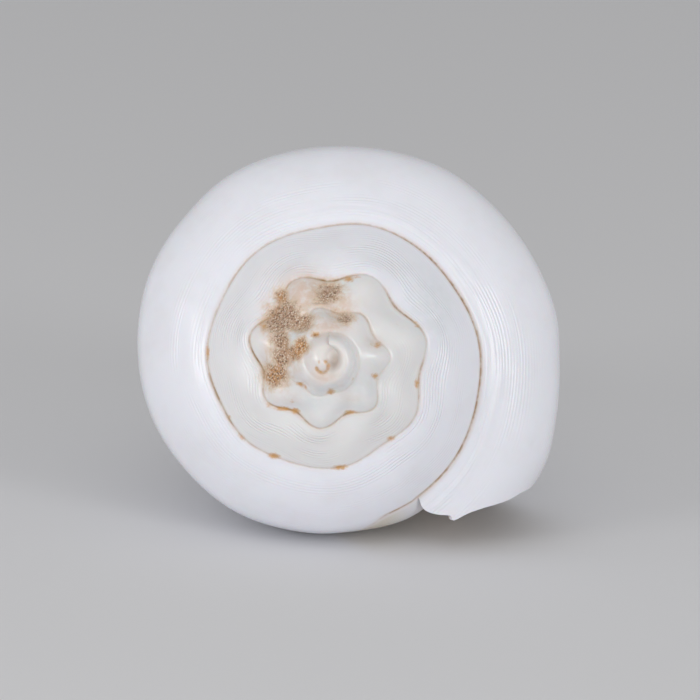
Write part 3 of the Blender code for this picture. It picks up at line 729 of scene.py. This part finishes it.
def shell_sheets():
    """The whole shell as one closed mesh, laid out in turns, radii and depths."""
    surface = Surface()
    rows = outer_rows()
    count = len(rows)
    shoulder = SHOULDER_STEPS
    wide = SHOULDER_STEPS + SUTURE_STEPS
    last = wide + SIDE_STEPS

    def add_outer(turns, rows, joined, spire):
        """Adds a sheet of the outer surface, with its distance from the nearest suture."""
        turn, row, points, across = outer_sheet(turns, rows)
        tone = curve_through(SEAM_TONES, degrees_wound(turn))
        if spire:
            to_next = across[:, -1:] - across
            next_tone = curve_through(SEAM_TONES, degrees_wound(turn - 1.0))
            tone = np.where(to_next < across, next_tone, tone)
            seam = np.minimum(across, to_next)
        else:
            to_edge = np.abs(row - callus_edge(turn)) * np.gradient(across, rows, axis=1)
            at_edge = (to_edge < across) & (turn > CALLUS_EDGE[0][0]) & (row >= SHOULDER_ROW - 1.0)
            seam = np.where(at_edge, to_edge, across)
            tone = np.where(at_edge, CALLUS_EDGE_TONE * smooth_step(*CALLUS_EDGE_COMES, turn), tone)
        return surface.add(unwind(points), surface_marks(turn, row, points, across, seam, tone), joined)

    # The last whorl. The shoulder of its end meets the suture of its start
    body = np.arange((COLUMNS + 1) * count).reshape(COLUMNS + 1, count)
    body = add_outer(np.arange(COLUMNS + 1) / COLUMNS, rows, (((0, 0), body[COLUMNS, shoulder]),), False)
    surface.add_quads(body, True)

    # The spire, coarser with each block. The foot of each whorl is the suture of the one after it
    before = body
    for first_turn, last_turn, coarseness in ((1.0, 2.0, 1), (2.0, 3.0, 2), (3.0, SPIRE_TURNS, 4)):
        columns = round((last_turn - first_turn) * COLUMNS)
        turns = first_turn + np.arange(columns + 1) / COLUMNS
        steps = SHOULDER_STEPS // coarseness
        start_line = before[-1, :shoulder + 1] if coarseness == 1 else before[-1, ::2]
        joined = (((0, slice(None)), start_line), ((slice(0, COLUMNS + 1), steps), before[:, 0]))
        ids = add_outer(turns, np.linspace(0.0, SHOULDER_ROW, steps + 1), joined, True)
        late = surface.vertices[-1].reshape(ids.shape)
        for column in range(COLUMNS + 1, columns + 1):
            late[column, steps] = late[column - COLUMNS, 0]
        surface.add_quads(ids[1:] if coarseness > 1 else ids, True)
        if coarseness > 1:
            for step in range(steps):
                surface.faces.append([int(ids[0, step]), int(before[-1, 2 * step + 1]), int(ids[0, step + 1]),
                                      int(ids[1, step + 1]), int(ids[1, step])])
        before = ids
    tip = before

    # The hollow: its outer wall, and its inner wall, which is the earlier whorl
    shares = (np.arange(HOLLOW_COLUMNS + 1) / HOLLOW_COLUMNS) ** HOLLOW_SPACING
    turn, row, outer, inner_turn, inner_row, inner = hollow_sheets(shares)
    inner_wall = surface.add(unwind(inner), surface_marks(inner_turn, inner_row, inner, inside=1.0),
                             (((0, slice(None)), body[COLUMNS, wide:]),))
    far_end = inner_wall[-1, np.maximum(np.arange(count) - wide, 0)]
    outer_wall = surface.add(unwind(outer), surface_marks(turn, row, outer, inside=1.0),
                             (((slice(None), 0), inner_wall[:, 0]),
                              ((HOLLOW_COLUMNS, slice(None)), far_end)))
    surface.add_quads(inner_wall, True)
    surface.add_quads(outer_wall, False)

    all_points = np.concatenate(surface.points)
    all_vertices = np.concatenate(surface.vertices)

    def placed(ids):
        """Points of joined sheets in the shell's own frame."""
        return wind(*np.moveaxis(all_points[all_vertices[ids]], -1, 0))

    # The rounded edge of the lip, between the outer surface and the hollow
    outer_edge, inner_edge = placed(body[0]), placed(outer_wall[0])
    across_rim = np.arange(SUTURE_STEPS + 1) / SUTURE_STEPS
    rim = outer_edge[:, None] + (inner_edge - outer_edge)[:, None] * across_rim[None, :, None]
    around = np.stack((rim[..., 1], -rim[..., 0], np.zeros(rim.shape[:2])), axis=-1)
    around /= np.linalg.norm(around, axis=-1, keepdims=True)
    rim = rim + around * LIP_ROUNDING * np.sin(math.pi * across_rim)[None, :, None]
    rim_row = np.broadcast_to(rows[:, None], rim.shape[:2])
    rim_ids = surface.add(unwind(rim), surface_marks(0.0 * rim_row, rim_row, rim, inside=across_rim), (
        ((slice(None), 0), body[0]), ((slice(None), SUTURE_STEPS), outer_wall[0]),
        ((0, slice(None)), body[COLUMNS, shoulder:wide + 1])))
    surface.add_quads(rim_ids, True)

    # The dome on the tip, from the last turn of the spire to one point
    loop = np.concatenate((tip[-1 - COLUMNS:, 0], tip[-1, 1:-1]))
    closed, grooved, hollow_painted_shade = (np.concatenate((part, part[:, :1]), axis=1)
                               for part in tip_sheet(placed(loop)))
    tip_turn = np.full(grooved.shape, SPIRE_TURNS)
    marks = surface_marks(tip_turn, 0.0 * tip_turn, closed, TIP_ACROSS, TIP_LINE_WIDTH * (1.0 - grooved),
                          TIP_TONE)
    # Painted shade in the hollow beside the first whorl
    marks["shade"] = TIP_PAINTED_SHADE * hollow_painted_shade
    marks["stain"] = np.maximum(marks["stain"], TIP_STAIN * np.sqrt(grooved))
    dome = surface.add(unwind(closed), marks, (((0, slice(None)), np.append(loop, loop[0])),))
    vertices = surface.vertices[-1].reshape(dome.shape)
    vertices[:, -1] = vertices[:, 0]
    vertices[-1] = vertices[-1, 0]
    surface.add_quads(dome, True)

    # The sawn looking end of the canal is one face
    canal_end = np.concatenate((body[:, last], inner_wall[1:, -1], outer_wall[-2::-1, last],
                                rim_ids[last, -2:0:-1]))
    surface.faces.append([int(number) for number in canal_end[::-1]])
    return surface.mesh("shell sheets")


def linear_colour(code):
    """A linear colour from an sRGB hex code."""
    parts = [int(code[place:place + 2], 16) / 255.0 for place in (1, 3, 5)]
    return tuple(part / 12.92 if part <= 0.04045 else ((part + 0.055) / 1.055) ** 2.4 for part in parts)


def add_node(tree, kind, settings=None, inputs=None):
    """Adds a node, sets its properties, sets or links its inputs, and returns its outputs."""
    node = tree.nodes.new(kind)
    count = len(tree.nodes)
    node.location = (220.0 * (count % 10), -260.0 * (count // 10))
    for name, value in (settings or {}).items():
        setattr(node, name, value)
    for key, value in (inputs or {}).items():
        if isinstance(value, bpy.types.NodeSocket):
            tree.links.new(value, node.inputs[key])
        else:
            node.inputs[key].default_value = value
    return node.outputs


def winding_tree():
    """Winds flat sheets round the shell's axis, raises the relief and lays the shell down."""
    tree = bpy.data.node_groups.new("wind the shell", "GeometryNodeTree")
    for way in ("INPUT", "OUTPUT"):
        tree.interface.new_socket("Geometry", in_out=way, socket_type="NodeSocketGeometry")
    for kind, names in (
            ("Float", ("Lip Angle", "Spire Raised", "Roll")),
            ("Vector", ("Axis Place", "Low Corner", "High Corner")),
            ("Float", ("Growth Lines Per Turn", "Growth Line Height", "Welt Height", "Seam Depth",
                       "Worn Depth", "Seed")),
            ("Material", ("Finish",))):
        for name in names:
            tree.interface.new_socket(name, in_out="INPUT", socket_type="NodeSocket" + kind)
    sizes = add_node(tree, "NodeGroupInput")
    marks = {name: add_node(tree, "GeometryNodeInputNamedAttribute", {"data_type": "FLOAT"},
                            {"Name": name})["Attribute"]
             for name in ("turn", "across", "seam", "tone", "inside", "worn")}

    # Wind the flat sheets round the axis
    position = add_node(tree, "GeometryNodeInputPosition")[0]
    flat = add_node(tree, "ShaderNodeSeparateXYZ", inputs={0: position})
    angle = add_node(tree, MATH, MULTIPLY_ADD, {0: flat[0], 1: FULL_TURN, 2: sizes["Lip Angle"]})[0]
    sides = []
    for part in ("COSINE", "SINE"):
        side = add_node(tree, MATH, {"operation": part}, {0: angle})[0]
        sides.append(add_node(tree, MATH, MULTIPLY, {0: side, 1: flat[1]})[0])
    up = add_node(tree, MATH, MULTIPLY, {0: flat[2], 1: -1.0})[0]
    wound = add_node(tree, "ShaderNodeCombineXYZ", inputs={0: sides[0], 1: sides[1], 2: up})[0]
    shell = add_node(tree, "GeometryNodeSetPosition",
                     inputs={"Geometry": sizes["Geometry"], "Position": wound})[0]

    clear_of_seam = add_node(tree, RANGE, EASED, {
        "Value": marks["seam"], "From Min": CLEAR_OF_SEAM[0], "From Max": CLEAR_OF_SEAM[1]})[0]
    not_inside = add_node(tree, MATH, SUBTRACT, {0: 1.0, 1: marks["inside"]})[0]

    # Patterns that follow the turn and the outline: slow growth lines, and the welt's wrinkles
    patterns = []
    for along, down, detail in ((sizes["Growth Lines Per Turn"], GROWTH_DOWN, 3.0),
                                (WRINKLES_PER_TURN, WRINKLES_DOWN, 2.0)):
        along = add_node(tree, MATH, MULTIPLY, {0: marks["turn"], 1: along})[0]
        down = add_node(tree, MATH, MULTIPLY, {0: marks["across"], 1: down})[0]
        place = add_node(tree, "ShaderNodeCombineXYZ", inputs={0: along, 1: down})[0]
        patterns.append(add_node(tree, NOISE, {"noise_dimensions": "4D"}, {
            "Vector": place, "W": sizes["Seed"], "Scale": 1.0, "Detail": detail})[0])
    growth, wrinkles = patterns

    # Bell shaped cuts: the welt that overlaps the earlier whorl, and the narrow groove of the seam
    bells = []
    for mark, width, middle in (("across", WELT_WIDTH, WELT_MIDDLE), ("seam", SEAM_WIDTH, 0.0)):
        place = add_node(tree, MATH, MULTIPLY_ADD, {0: marks[mark], 1: 1.0 / width, 2: -middle})[0]
        square = add_node(tree, MATH, {"operation": "POWER"}, {0: place, 1: 2.0})[0]
        fall = add_node(tree, MATH, MULTIPLY, {0: square, 1: -1.0})[0]
        bells.append(add_node(tree, MATH, {"operation": "EXPONENT"}, {0: fall})[0])
    welt, seam = bells
    in_welt = add_node(tree, RANGE, EASED, {
        "Value": marks["turn"], "From Min": WELT_ENDS[0], "From Max": WELT_ENDS[1], "To Min": 1.0,
        "To Max": 0.10})[0]
    open_seam = add_node(tree, MATH, MULTIPLY_ADD, {0: marks["tone"], 1: 0.8, 2: 0.2})[0]
    below_tip = add_node(tree, RANGE, EASED, {
        "Value": marks["turn"], "From Min": SEAM_SHALLOWS[0], "From Max": SEAM_SHALLOWS[1], "To Min": 1.0,
        "To Max": 0.1})[0]

    # Worn patches lie a little lower and are rough
    rough = add_node(tree, NOISE, {"noise_dimensions": "4D"}, {
        "Vector": wound, "W": sizes["Seed"], "Scale": 1.0 / WORN_GRAIN, "Detail": 2.0})[0]
    worn = add_node(tree, MATH, {"operation": "ADD"}, {0: marks["worn"], 1: rough})[0]
    worn = add_node(tree, RANGE, EASED, {"Value": worn, "From Min": 0.85, "From Max": 1.15})[0]

    # The relief is the welt less everything that is carved, and moves the surface along its normal
    heights = []
    for part, shares in ((welt, (in_welt, wrinkles, not_inside, clear_of_seam, sizes["Welt Height"])),
                         (growth, (sizes["Growth Line Height"], not_inside, clear_of_seam)),
                         (seam, (open_seam, below_tip, sizes["Seam Depth"])),
                         (worn, (sizes["Worn Depth"],))):
        for share in shares:
            part = add_node(tree, MATH, MULTIPLY, {0: part, 1: share})[0]
        heights.append(part)
    relief = heights[0]
    for carved in heights[1:]:
        relief = add_node(tree, MATH, SUBTRACT, {0: relief, 1: carved})[0]
    normal = add_node(tree, "GeometryNodeInputNormal")[0]
    offset = add_node(tree, "ShaderNodeVectorMath", {"operation": "SCALE"},
                      {"Vector": normal, "Scale": relief})[0]
    shell = add_node(tree, "GeometryNodeSetPosition", inputs={"Geometry": shell, "Offset": offset})[0]

    # Roll it, lay it down, put it in its place and keep it within the solid's box
    tilt = add_node(tree, MATH, SUBTRACT, {0: 0.5 * math.pi, 1: sizes["Spire Raised"]})[0]
    lying = add_node(tree, "GeometryNodeInputPosition")[0]
    for axis, turned in (("Z_AXIS", sizes["Roll"]), ("X_AXIS", tilt)):
        lying = add_node(tree, "ShaderNodeVectorRotate", {"rotation_type": axis},
                         {"Vector": lying, "Angle": turned})[0]
    for operation, corner in (("ADD", "Axis Place"), ("MAXIMUM", "Low Corner"), ("MINIMUM", "High Corner")):
        lying = add_node(tree, "ShaderNodeVectorMath", {"operation": operation},
                         {0: lying, 1: sizes[corner]})[0]
    shell = add_node(tree, "GeometryNodeSetPosition", inputs={"Geometry": shell, "Position": lying})[0]
    shell = add_node(tree, "GeometryNodeRealizeInstances", inputs={"Geometry": shell})[0]
    shell = add_node(tree, "GeometryNodeSetMaterial",
                     inputs={"Geometry": shell, "Material": sizes["Finish"]})[0]
    add_node(tree, "NodeGroupOutput", inputs={"Geometry": shell})
    return tree


def weathered_shell(settings):
    """Aragonite shell, grown and beach worn: dense porcelain white with a glossy skin."""
    material = bpy.data.materials.new("white aragonite shell")
    material.use_nodes = True
    tree = material.node_tree
    tree.nodes.clear()
    marks = {name: add_node(tree, "ShaderNodeAttribute", {"attribute_name": name})["Fac"]
             for name in ("turn", "across", "seam", "tone", "inside", "early", "worn", "orange", "rosy",
                          "cool", "stain", "shade", "callus", "down")}
    place = add_node(tree, "ShaderNodeTexCoord")["Object"]
    clouds, blotches, grains, specks = (
        add_node(tree, NOISE, inputs={"Vector": place, "Scale": 1.0 / size, "Detail": detail,
                                      "Roughness": 0.6})[0]
        for size, detail in ((CLOUD_SIZE, 3.0), (BLOTCH_SIZE, 3.0), (GRAIN_SIZE, 4.0), (SPECK_SIZE, 2.0)))

    # Faint clouds in the white, and uneven tints on the spire
    cloudy = add_node(tree, RANGE, inputs={"Value": clouds, "From Min": 0.45, "From Max": 0.75,
                                           "To Max": 0.35})[0]
    uneven = add_node(tree, RANGE, inputs={"Value": blotches, "From Min": 0.22, "From Max": 0.55})[0]
    rosy, cool = (add_node(tree, MATH, MULTIPLY, {0: marks[name], 1: uneven})[0]
                  for name in ("rosy", "cool"))

    # Dirt held by the seam: a thin line, thicker and darker in places, in a faint golden haze
    line_width = add_node(tree, RANGE, inputs={
        "Value": blotches, "From Min": 0.35, "From Max": 0.65, "To Min": SEAM_LINE[0],
        "To Max": SEAM_LINE[1]})[0]
    line = add_node(tree, RANGE, EASED, {"Value": marks["seam"], "From Min": SEAM_LINE_CORE,
                                         "From Max": line_width, "To Min": 1.0, "To Max": 0.0})[0]
    unbroken = add_node(tree, RANGE, inputs={"Value": blotches, "From Min": 0.38, "From Max": 0.58,
                                             "To Min": 0.45})[0]
    for share in (marks["tone"], unbroken):
        line = add_node(tree, MATH, MULTIPLY, {0: line, 1: share})[0]
    haze = add_node(tree, RANGE, EASED, {"Value": marks["seam"], "From Max": SEAM_HAZE, "To Min": 0.4,
                                         "To Max": 0.0})[0]
    haze = add_node(tree, MATH, MULTIPLY, {0: haze, 1: marks["tone"]})[0]
    line_colour = add_node(tree, MIX, COLOURS, {
        "Factor": marks["tone"], 6: (*settings.seam_gold, 1.0), 7: (*settings.seam_dirt, 1.0)})[2]

    # Rust coloured stains with frayed edges, drawn out along the seam
    off_seam = add_node(tree, RANGE, EASED, {"Value": marks["seam"], "From Min": STAIN_DRAWN[0],
                                             "From Max": STAIN_DRAWN[1], "To Max": 0.3})[0]
    frayed = add_node(tree, MATH, MULTIPLY_ADD, {0: grains, 1: 0.8, 2: marks["stain"]})[0]
    frayed = add_node(tree, MATH, SUBTRACT, {0: frayed, 1: off_seam})[0]
    stain = add_node(tree, RANGE, EASED, {"Value": frayed, "From Min": 0.56, "From Max": 1.26,
                                          "To Max": 0.9})[0]

    # Worn patches: the glossy layer is gone and the brown, pitted one under it shows
    ragged = marks["worn"]
    for pattern, share in ((blotches, 0.8), (grains, 0.6)):
        ragged = add_node(tree, MATH, MULTIPLY_ADD, {0: pattern, 1: share, 2: ragged})[0]
    worn = add_node(tree, RANGE, EASED, {"Value": ragged, "From Min": 0.98, "From Max": 1.50,
                                         "To Max": 0.95})[0]
    halo = add_node(tree, RANGE, EASED, {"Value": ragged, "From Min": 0.74, "From Max": 1.22,
                                         "To Max": 0.8})[0]
    at_patch = add_node(tree, RANGE, inputs={"Value": marks["worn"], "From Min": 0.01, "From Max": 0.2})[0]
    halo = add_node(tree, MATH, MULTIPLY, {0: halo, 1: at_patch})[0]
    beads = add_node(tree, "ShaderNodeTexVoronoi", {"feature": "SMOOTH_F1"}, {
        "Vector": place, "Scale": 1.0 / BEAD_SIZE, "Smoothness": 0.3})[0]
    bead = add_node(tree, RANGE, inputs={"Value": beads, "From Min": 0.20, "From Max": 0.55, "To Min": 0.9,
                                         "To Max": 0.0})[0]
    holes = add_node(tree, "ShaderNodeTexVoronoi", inputs={"Vector": place, "Scale": 1.0 / PIT_SPACING})[0]
    pitted = add_node(tree, RANGE, inputs={"Value": holes, "From Min": 0.24, "From Max": 0.44,
                                           "To Min": 1.0, "To Max": 0.0})[0]
    deep = add_node(tree, RANGE, inputs={"Value": ragged, "From Min": 1.05, "From Max": 1.5,
                                         "To Max": 0.9})[0]
    pitted = add_node(tree, MATH, MULTIPLY, {0: pitted, 1: deep})[0]
    bared = (*settings.worn_dark, 1.0)
    for share, tint in ((marks["orange"], settings.worn_orange), (bead, settings.worn_pale),
                        (pitted, settings.pit)):
        bared = add_node(tree, MIX, COLOURS, {"Factor": share, 6: bared, 7: (*tint, 1.0)})[2]

    # The colours lie over each other in this order. The nucleus shade is painted shade in the hollow beside
    # the first whorl
    colour = (*settings.white, 1.0)
    for share, tint in ((marks["early"], (*settings.early_white, 1.0)), (cloudy, (*settings.cloud, 1.0)),
                        (cool, (*settings.cool, 1.0)), (rosy, (*settings.rosy, 1.0)),
                        (marks["callus"], (*settings.callus, 1.0)), (marks["inside"], (*settings.mouth, 1.0)),
                        (marks["shade"], (*settings.shade, 1.0)), (haze, (*settings.seam_gold, 1.0)),
                        (halo, (*settings.halo, 1.0)), (worn, bared), (line, line_colour),
                        (stain, (*settings.stain, 1.0))):
        colour = add_node(tree, MIX, COLOURS, {"Factor": share, 6: colour, 7: tint})[2]

    # Threads: fine spiral ridges at an even spacing from the suture, broken in places, which fade down
    # the shoulder of the last whorl and towards the tip
    along = add_node(tree, MATH, MULTIPLY, {0: marks["turn"], 1: BREAKS_PER_TURN})[0]
    down = add_node(tree, MATH, MULTIPLY, {0: marks["across"], 1: BREAKS_DOWN})[0]
    patchy = add_node(tree, "ShaderNodeCombineXYZ", inputs={0: along, 1: down})[0]
    patches = add_node(tree, NOISE, inputs={"Vector": patchy, "Scale": 1.0, "Detail": 2.0})[0]
    threads = add_node(tree, RANGE, EASED, {"Value": patches, "From Min": 0.42, "From Max": 0.62,
                                            "To Min": 0.06})[0]
    for mark, low, high, start, end in THREAD_FADES:
        share = add_node(tree, RANGE, EASED, {"Value": marks[mark], "From Min": low, "From Max": high,
                                              "To Min": start, "To Max": end})[0]
        threads = add_node(tree, MATH, MULTIPLY, {0: threads, 1: share})[0]
    wave = add_node(tree, MATH, MULTIPLY, {0: marks["across"], 1: 1.0 / settings.thread_spacing})[0]
    wave = add_node(tree, MATH, MULTIPLY_ADD, {0: patches, 1: THREAD_WANDER, 2: wave})[0]
    wave = add_node(tree, MATH, MULTIPLY, {0: wave, 1: FULL_TURN})[0]
    wave = add_node(tree, MATH, {"operation": "COSINE"}, {0: wave})[0]
    height = add_node(tree, MATH, MULTIPLY, {0: wave, 1: threads})[0]
    height = add_node(tree, MATH, MULTIPLY, {0: height, 1: 0.5 * settings.thread_height})[0]
    for part, size in ((specks, SPECK_HEIGHT), (pitted, -PIT_DEPTH)):
        height = add_node(tree, MATH, MULTIPLY_ADD, {0: part, 1: size, 2: height})[0]
    bump = add_node(tree, "ShaderNodeBump", inputs={"Height": height, "Distance": 1.0, "Strength": 1.0})[0]

    # Glossy where the outer layer is left, and matt where it is worn away
    roughness = add_node(tree, RANGE, inputs={"Value": worn, "To Min": 0.24, "To Max": 0.8})[0]
    surface = add_node(tree, "ShaderNodeBsdfPrincipled", inputs={
        "Base Color": colour, "Roughness": roughness, "Normal": bump, "IOR": 1.53,
        "Subsurface Weight": 0.15, "Subsurface Scale": 1.5 * MM})[0]
    add_node(tree, "ShaderNodeOutputMaterial", inputs={"Surface": surface})
    return material


def paper_floor(settings):
    """Matt studio paper: even and pale, without a sheen."""
    material = bpy.data.materials.new("matt studio paper")
    material.use_nodes = True
    tree = material.node_tree
    tree.nodes.clear()
    place = add_node(tree, "ShaderNodeTexCoord")["Object"]
    tooth = add_node(tree, NOISE, inputs={"Vector": place, "Scale": 1.0 / PAPER_TOOTH, "Detail": 3.0})[0]
    bump = add_node(tree, "ShaderNodeBump",
                    inputs={"Height": tooth, "Distance": PAPER_TOOTH_DEPTH, "Strength": 0.4})[0]
    surface = add_node(tree, "ShaderNodeBsdfPrincipled", inputs={
        "Base Color": (*settings.floor, 1.0), "Roughness": 0.85, "Normal": bump})[0]
    add_node(tree, "ShaderNodeOutputMaterial", inputs={"Surface": surface})
    return material


def length_setting(name, description, default, largest, smallest=0.0):
    """A length that the user may change."""
    return bpy.props.FloatProperty(name=name, description=description, default=default, min=smallest,
                                   max=largest, precision=5, unit="LENGTH")


def colour_setting(name, description, code):
    """A colour that the user may change, from its sRGB hex code."""
    return bpy.props.FloatVectorProperty(name=name, description=description, default=linear_colour(code),
                                         subtype="COLOR", min=0.0, max=1.0)


class ShellSettings(bpy.types.PropertyGroup):
    """Relief and colours of the shell."""

    thread_spacing: length_setting("Thread Spacing", "Distance between neighbouring spiral threads",
                                   0.7 * MM, 3.0 * MM, 0.3 * MM)
    thread_height: length_setting("Thread Height", "How far the threads stand above the grooves between them",
                                  0.085 * MM, 0.5 * MM)
    growth_lines: bpy.props.FloatProperty(
        name="Growth Lines", description="Growth lines in one turn", default=34.0, min=1.0, max=200.0)
    growth_line_height: length_setting("Growth Line Height", "Depth of the growth lines", 0.10 * MM, MM)
    welt_height: length_setting("Welt Height", "Height of the welt beside the last suture", 0.45 * MM, MM)
    seam_depth: length_setting("Seam Depth", "Depth of the groove at the suture", 0.20 * MM, MM)
    worn_depth: length_setting("Worn Depth", "How much lower the worn patches lie", 0.22 * MM, MM)
    seed: bpy.props.IntProperty(
        name="Seed", description="Changes where the growth lines and the welt's wrinkles fall",
        default=7, min=0, max=1000)
    white: colour_setting("Shell White", "Last whorl", "#EFF0F8")
    early_white: colour_setting("Spire White", "Early whorls", "#ECEBEB")
    cloud: colour_setting("Clouding", "Faint clouds in the white", "#E4E2E4")
    callus: colour_setting("Callus", "Glaze beside the mouth", "#DED6CA")
    mouth: colour_setting("Mouth", "Inside of the mouth", "#F0DFCC")
    seam_dirt: colour_setting("Seam Dirt", "Dirt in the suture", "#9A7850")
    seam_gold: colour_setting("Seam Gold", "Tint of the suture where it is faint", "#CBA376")
    stain: colour_setting("Stain", "Rust coloured stains", "#D09C5C")
    rosy: colour_setting("Rosy Tint", "Faint tint round the worn patches", "#DFC9BB")
    cool: colour_setting("Cool Tint", "Faint tint of the cleaner knobs", "#DADFE2")
    # Colour of the painted shade in the hollow beside the first whorl
    shade: colour_setting("Nucleus Shade", "Beside the first whorl", "#9C8C80")
    halo: colour_setting("Halo", "Tan edge of the worn patches", "#DCC5AC")
    worn_pale: colour_setting("Worn Pale", "Pale grains of the worn patches", "#E6D6C4")
    worn_dark: colour_setting("Worn Dark", "Darker grains of the worn patches", "#B3937A")
    worn_orange: colour_setting("Worn Orange", "Rusty parts of the worn patches", "#BE8A55")
    pit: colour_setting("Pit", "Pits in the worn patches", "#7B5B45")


class StageSettings(bpy.types.PropertyGroup):
    """Floor, lights and camera."""

    floor: colour_setting("Floor", "Colour of the studio paper", "#E2E2E4")
    floor_size: bpy.props.FloatProperty(
        name="Floor Size", description="Side of the square floor", default=12.0, min=1.0, unit="LENGTH")
    side_light: bpy.props.FloatProperty(
        name="Side Lights", description="Power of the two side lights, in watts", default=2.4, min=0.0,
        unit="POWER")
    front_light: bpy.props.FloatProperty(
        name="Front Light", description="Power of the large light above the camera, in watts",
        default=1.2, min=0.0, unit="POWER")
    fill_light: bpy.props.FloatProperty(
        name="Fill Light", description="Power of the light behind the camera, in watts",
        default=3.4, min=0.0, unit="POWER")
    sky: bpy.props.FloatProperty(
        name="Sky", description="Strength of the even light from all round", default=0.455, min=0.0)
    camera_distance: bpy.props.FloatProperty(
        name="Camera Distance", description="From the camera to the start of the shell's axis",
        default=2.0, min=0.5, unit="LENGTH")
    frame_width: bpy.props.FloatProperty(
        name="Frame Width", description="Width of the view at the shell's widest line",
        default=0.1465, min=0.01, unit="LENGTH")


class CONCH_OT_add_shell(bpy.types.Operator):
    """Build the shell from its outline and wind it round its axis"""

    bl_idname = "conch.add_shell"
    bl_label = "Add Shell"

    def execute(self, context):
        """Makes the shell as one plain mesh that stands for the solid shell."""
        settings = context.scene.conch_shell
        flat = bpy.data.objects.new("shell sheets", shell_sheets())
        context.scene.collection.objects.link(flat)
        winding = flat.modifiers.new("wind the shell", "NODES")
        tree = winding_tree()
        winding.node_group = tree
        low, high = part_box("shell")
        values = {
            "Lip Angle": LIP_ANGLE,
            "Spire Raised": SPIRE_RAISED,
            "Roll": ROLL,
            "Axis Place": tuple(axis_place()),
            "Low Corner": tuple(low),
            "High Corner": tuple(high),
            "Growth Lines Per Turn": settings.growth_lines,
            "Growth Line Height": settings.growth_line_height,
            "Welt Height": settings.welt_height,
            "Seam Depth": settings.seam_depth,
            "Worn Depth": settings.worn_depth,
            "Seed": float(settings.seed),
            "Finish": weathered_shell(settings),
        }
        sockets = {item.name: item.identifier for item in tree.interface.items_tree
                   if item.in_out == "INPUT"}
        for name, value in values.items():
            winding[sockets[name]] = value
        context.view_layer.update()
        evaluated = flat.evaluated_get(context.evaluated_depsgraph_get())
        mesh = bpy.data.meshes.new_from_object(evaluated)
        flat.modifiers.remove(winding)
        bpy.data.objects.remove(flat, do_unlink=True)
        if not mesh.polygons:
            raise RuntimeError("the shell has no faces")
        mesh.name = "conch_shell"
        mesh.set_sharp_from_angle(angle=SHARP_FROM)
        shell = bpy.data.objects.new("conch_shell", mesh)
        context.scene.collection.objects.link(shell)
        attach(shell, "root")
        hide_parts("shell")
        return {"FINISHED"}


class CONCH_OT_set_stage(bpy.types.Operator):
    """Lay the pale floor, hang the soft lights and point the camera along the shell's axis"""

    bl_idname = "conch.set_stage"
    bl_label = "Set Stage"

    def execute(self, context):
        """Makes the floor, the lights, the sky and the camera."""
        scene = context.scene
        settings = scene.conch_stage
        half = 0.5 * settings.floor_size
        mesh = bpy.data.meshes.new("floor")
        mesh.from_pydata([(-half, -half, 0.0), (half, -half, 0.0), (half, half, 0.0), (-half, half, 0.0)],
                         [], [(0, 1, 2, 3)])
        mesh.materials.append(paper_floor(settings))
        floor = bpy.data.objects.new("floor", mesh)
        scene.collection.objects.link(floor)

        turn = lying_matrix()
        start = axis_place()
        for name, direction, distance, width, height, power in LIGHTS:
            lamp = bpy.data.lights.new(name, "AREA")
            lamp.shape = "RECTANGLE"
            lamp.size = width
            lamp.size_y = height
            lamp.energy = getattr(settings, power)
            place = start + turn @ (Vector(direction).normalized() * distance)
            light = bpy.data.objects.new(name, lamp)
            light.location = place
            light.rotation_euler = (start - place).to_track_quat("-Z", "Y").to_euler()
            scene.collection.objects.link(light)

        sky = bpy.data.worlds.new("even sky")
        sky.use_nodes = True
        background = sky.node_tree.nodes["Background"]
        background.inputs["Color"].default_value = (1.0, 1.0, 1.0, 1.0)
        background.inputs["Strength"].default_value = settings.sky
        scene.world = sky

        lens = bpy.data.cameras.new("camera")
        lens.sensor_width = SENSOR_WIDTH
        lens.lens = SENSOR_WIDTH * (settings.camera_distance + VIEW_DEPTH) / settings.frame_width
        lens.clip_start = 0.05
        lens.clip_end = 50.0
        camera = bpy.data.objects.new("camera", lens)
        place = start + turn @ Vector((*CAMERA_ASIDE, settings.camera_distance))
        camera.matrix_world = Matrix.Translation(place) @ turn.to_4x4()
        scene.collection.objects.link(camera)
        scene.camera = camera
        scene.view_settings.view_transform = "Standard"
        return {"FINISHED"}


class CONCH_PT_panel(bpy.types.Panel):
    """Sizes, colours and buttons of the conch shell"""

    bl_idname = "CONCH_PT_panel"
    bl_label = "Conch Shell"
    bl_space_type = "VIEW_3D"
    bl_region_type = "UI"
    bl_category = "Conch Shell"

    def draw(self, context):
        """Lists the settings of each group under its button."""
        for operator, group in (("conch.add_shell", context.scene.conch_shell),
                                ("conch.set_stage", context.scene.conch_stage)):
            box = self.layout.box()
            box.operator(operator)
            for name in group.__annotations__:
                box.prop(group, name)


CLASSES = (ShellSettings, StageSettings, CONCH_OT_add_shell, CONCH_OT_set_stage, CONCH_PT_panel)


def register():
    """Registers the classes and hangs the settings on the scene."""
    for kind in CLASSES:
        bpy.utils.register_class(kind)
    bpy.types.Scene.conch_shell = bpy.props.PointerProperty(type=ShellSettings)
    bpy.types.Scene.conch_stage = bpy.props.PointerProperty(type=StageSettings)


def unregister():
    """Takes the settings and the classes away again."""
    del bpy.types.Scene.conch_stage
    del bpy.types.Scene.conch_shell
    for kind in reversed(CLASSES):
        bpy.utils.unregister_class(kind)


def main():
    """Builds the shell and its stage."""
    register()
    bpy.ops.conch.add_shell()
    bpy.ops.conch.set_stage()


if __name__ == "__main__":
    main()
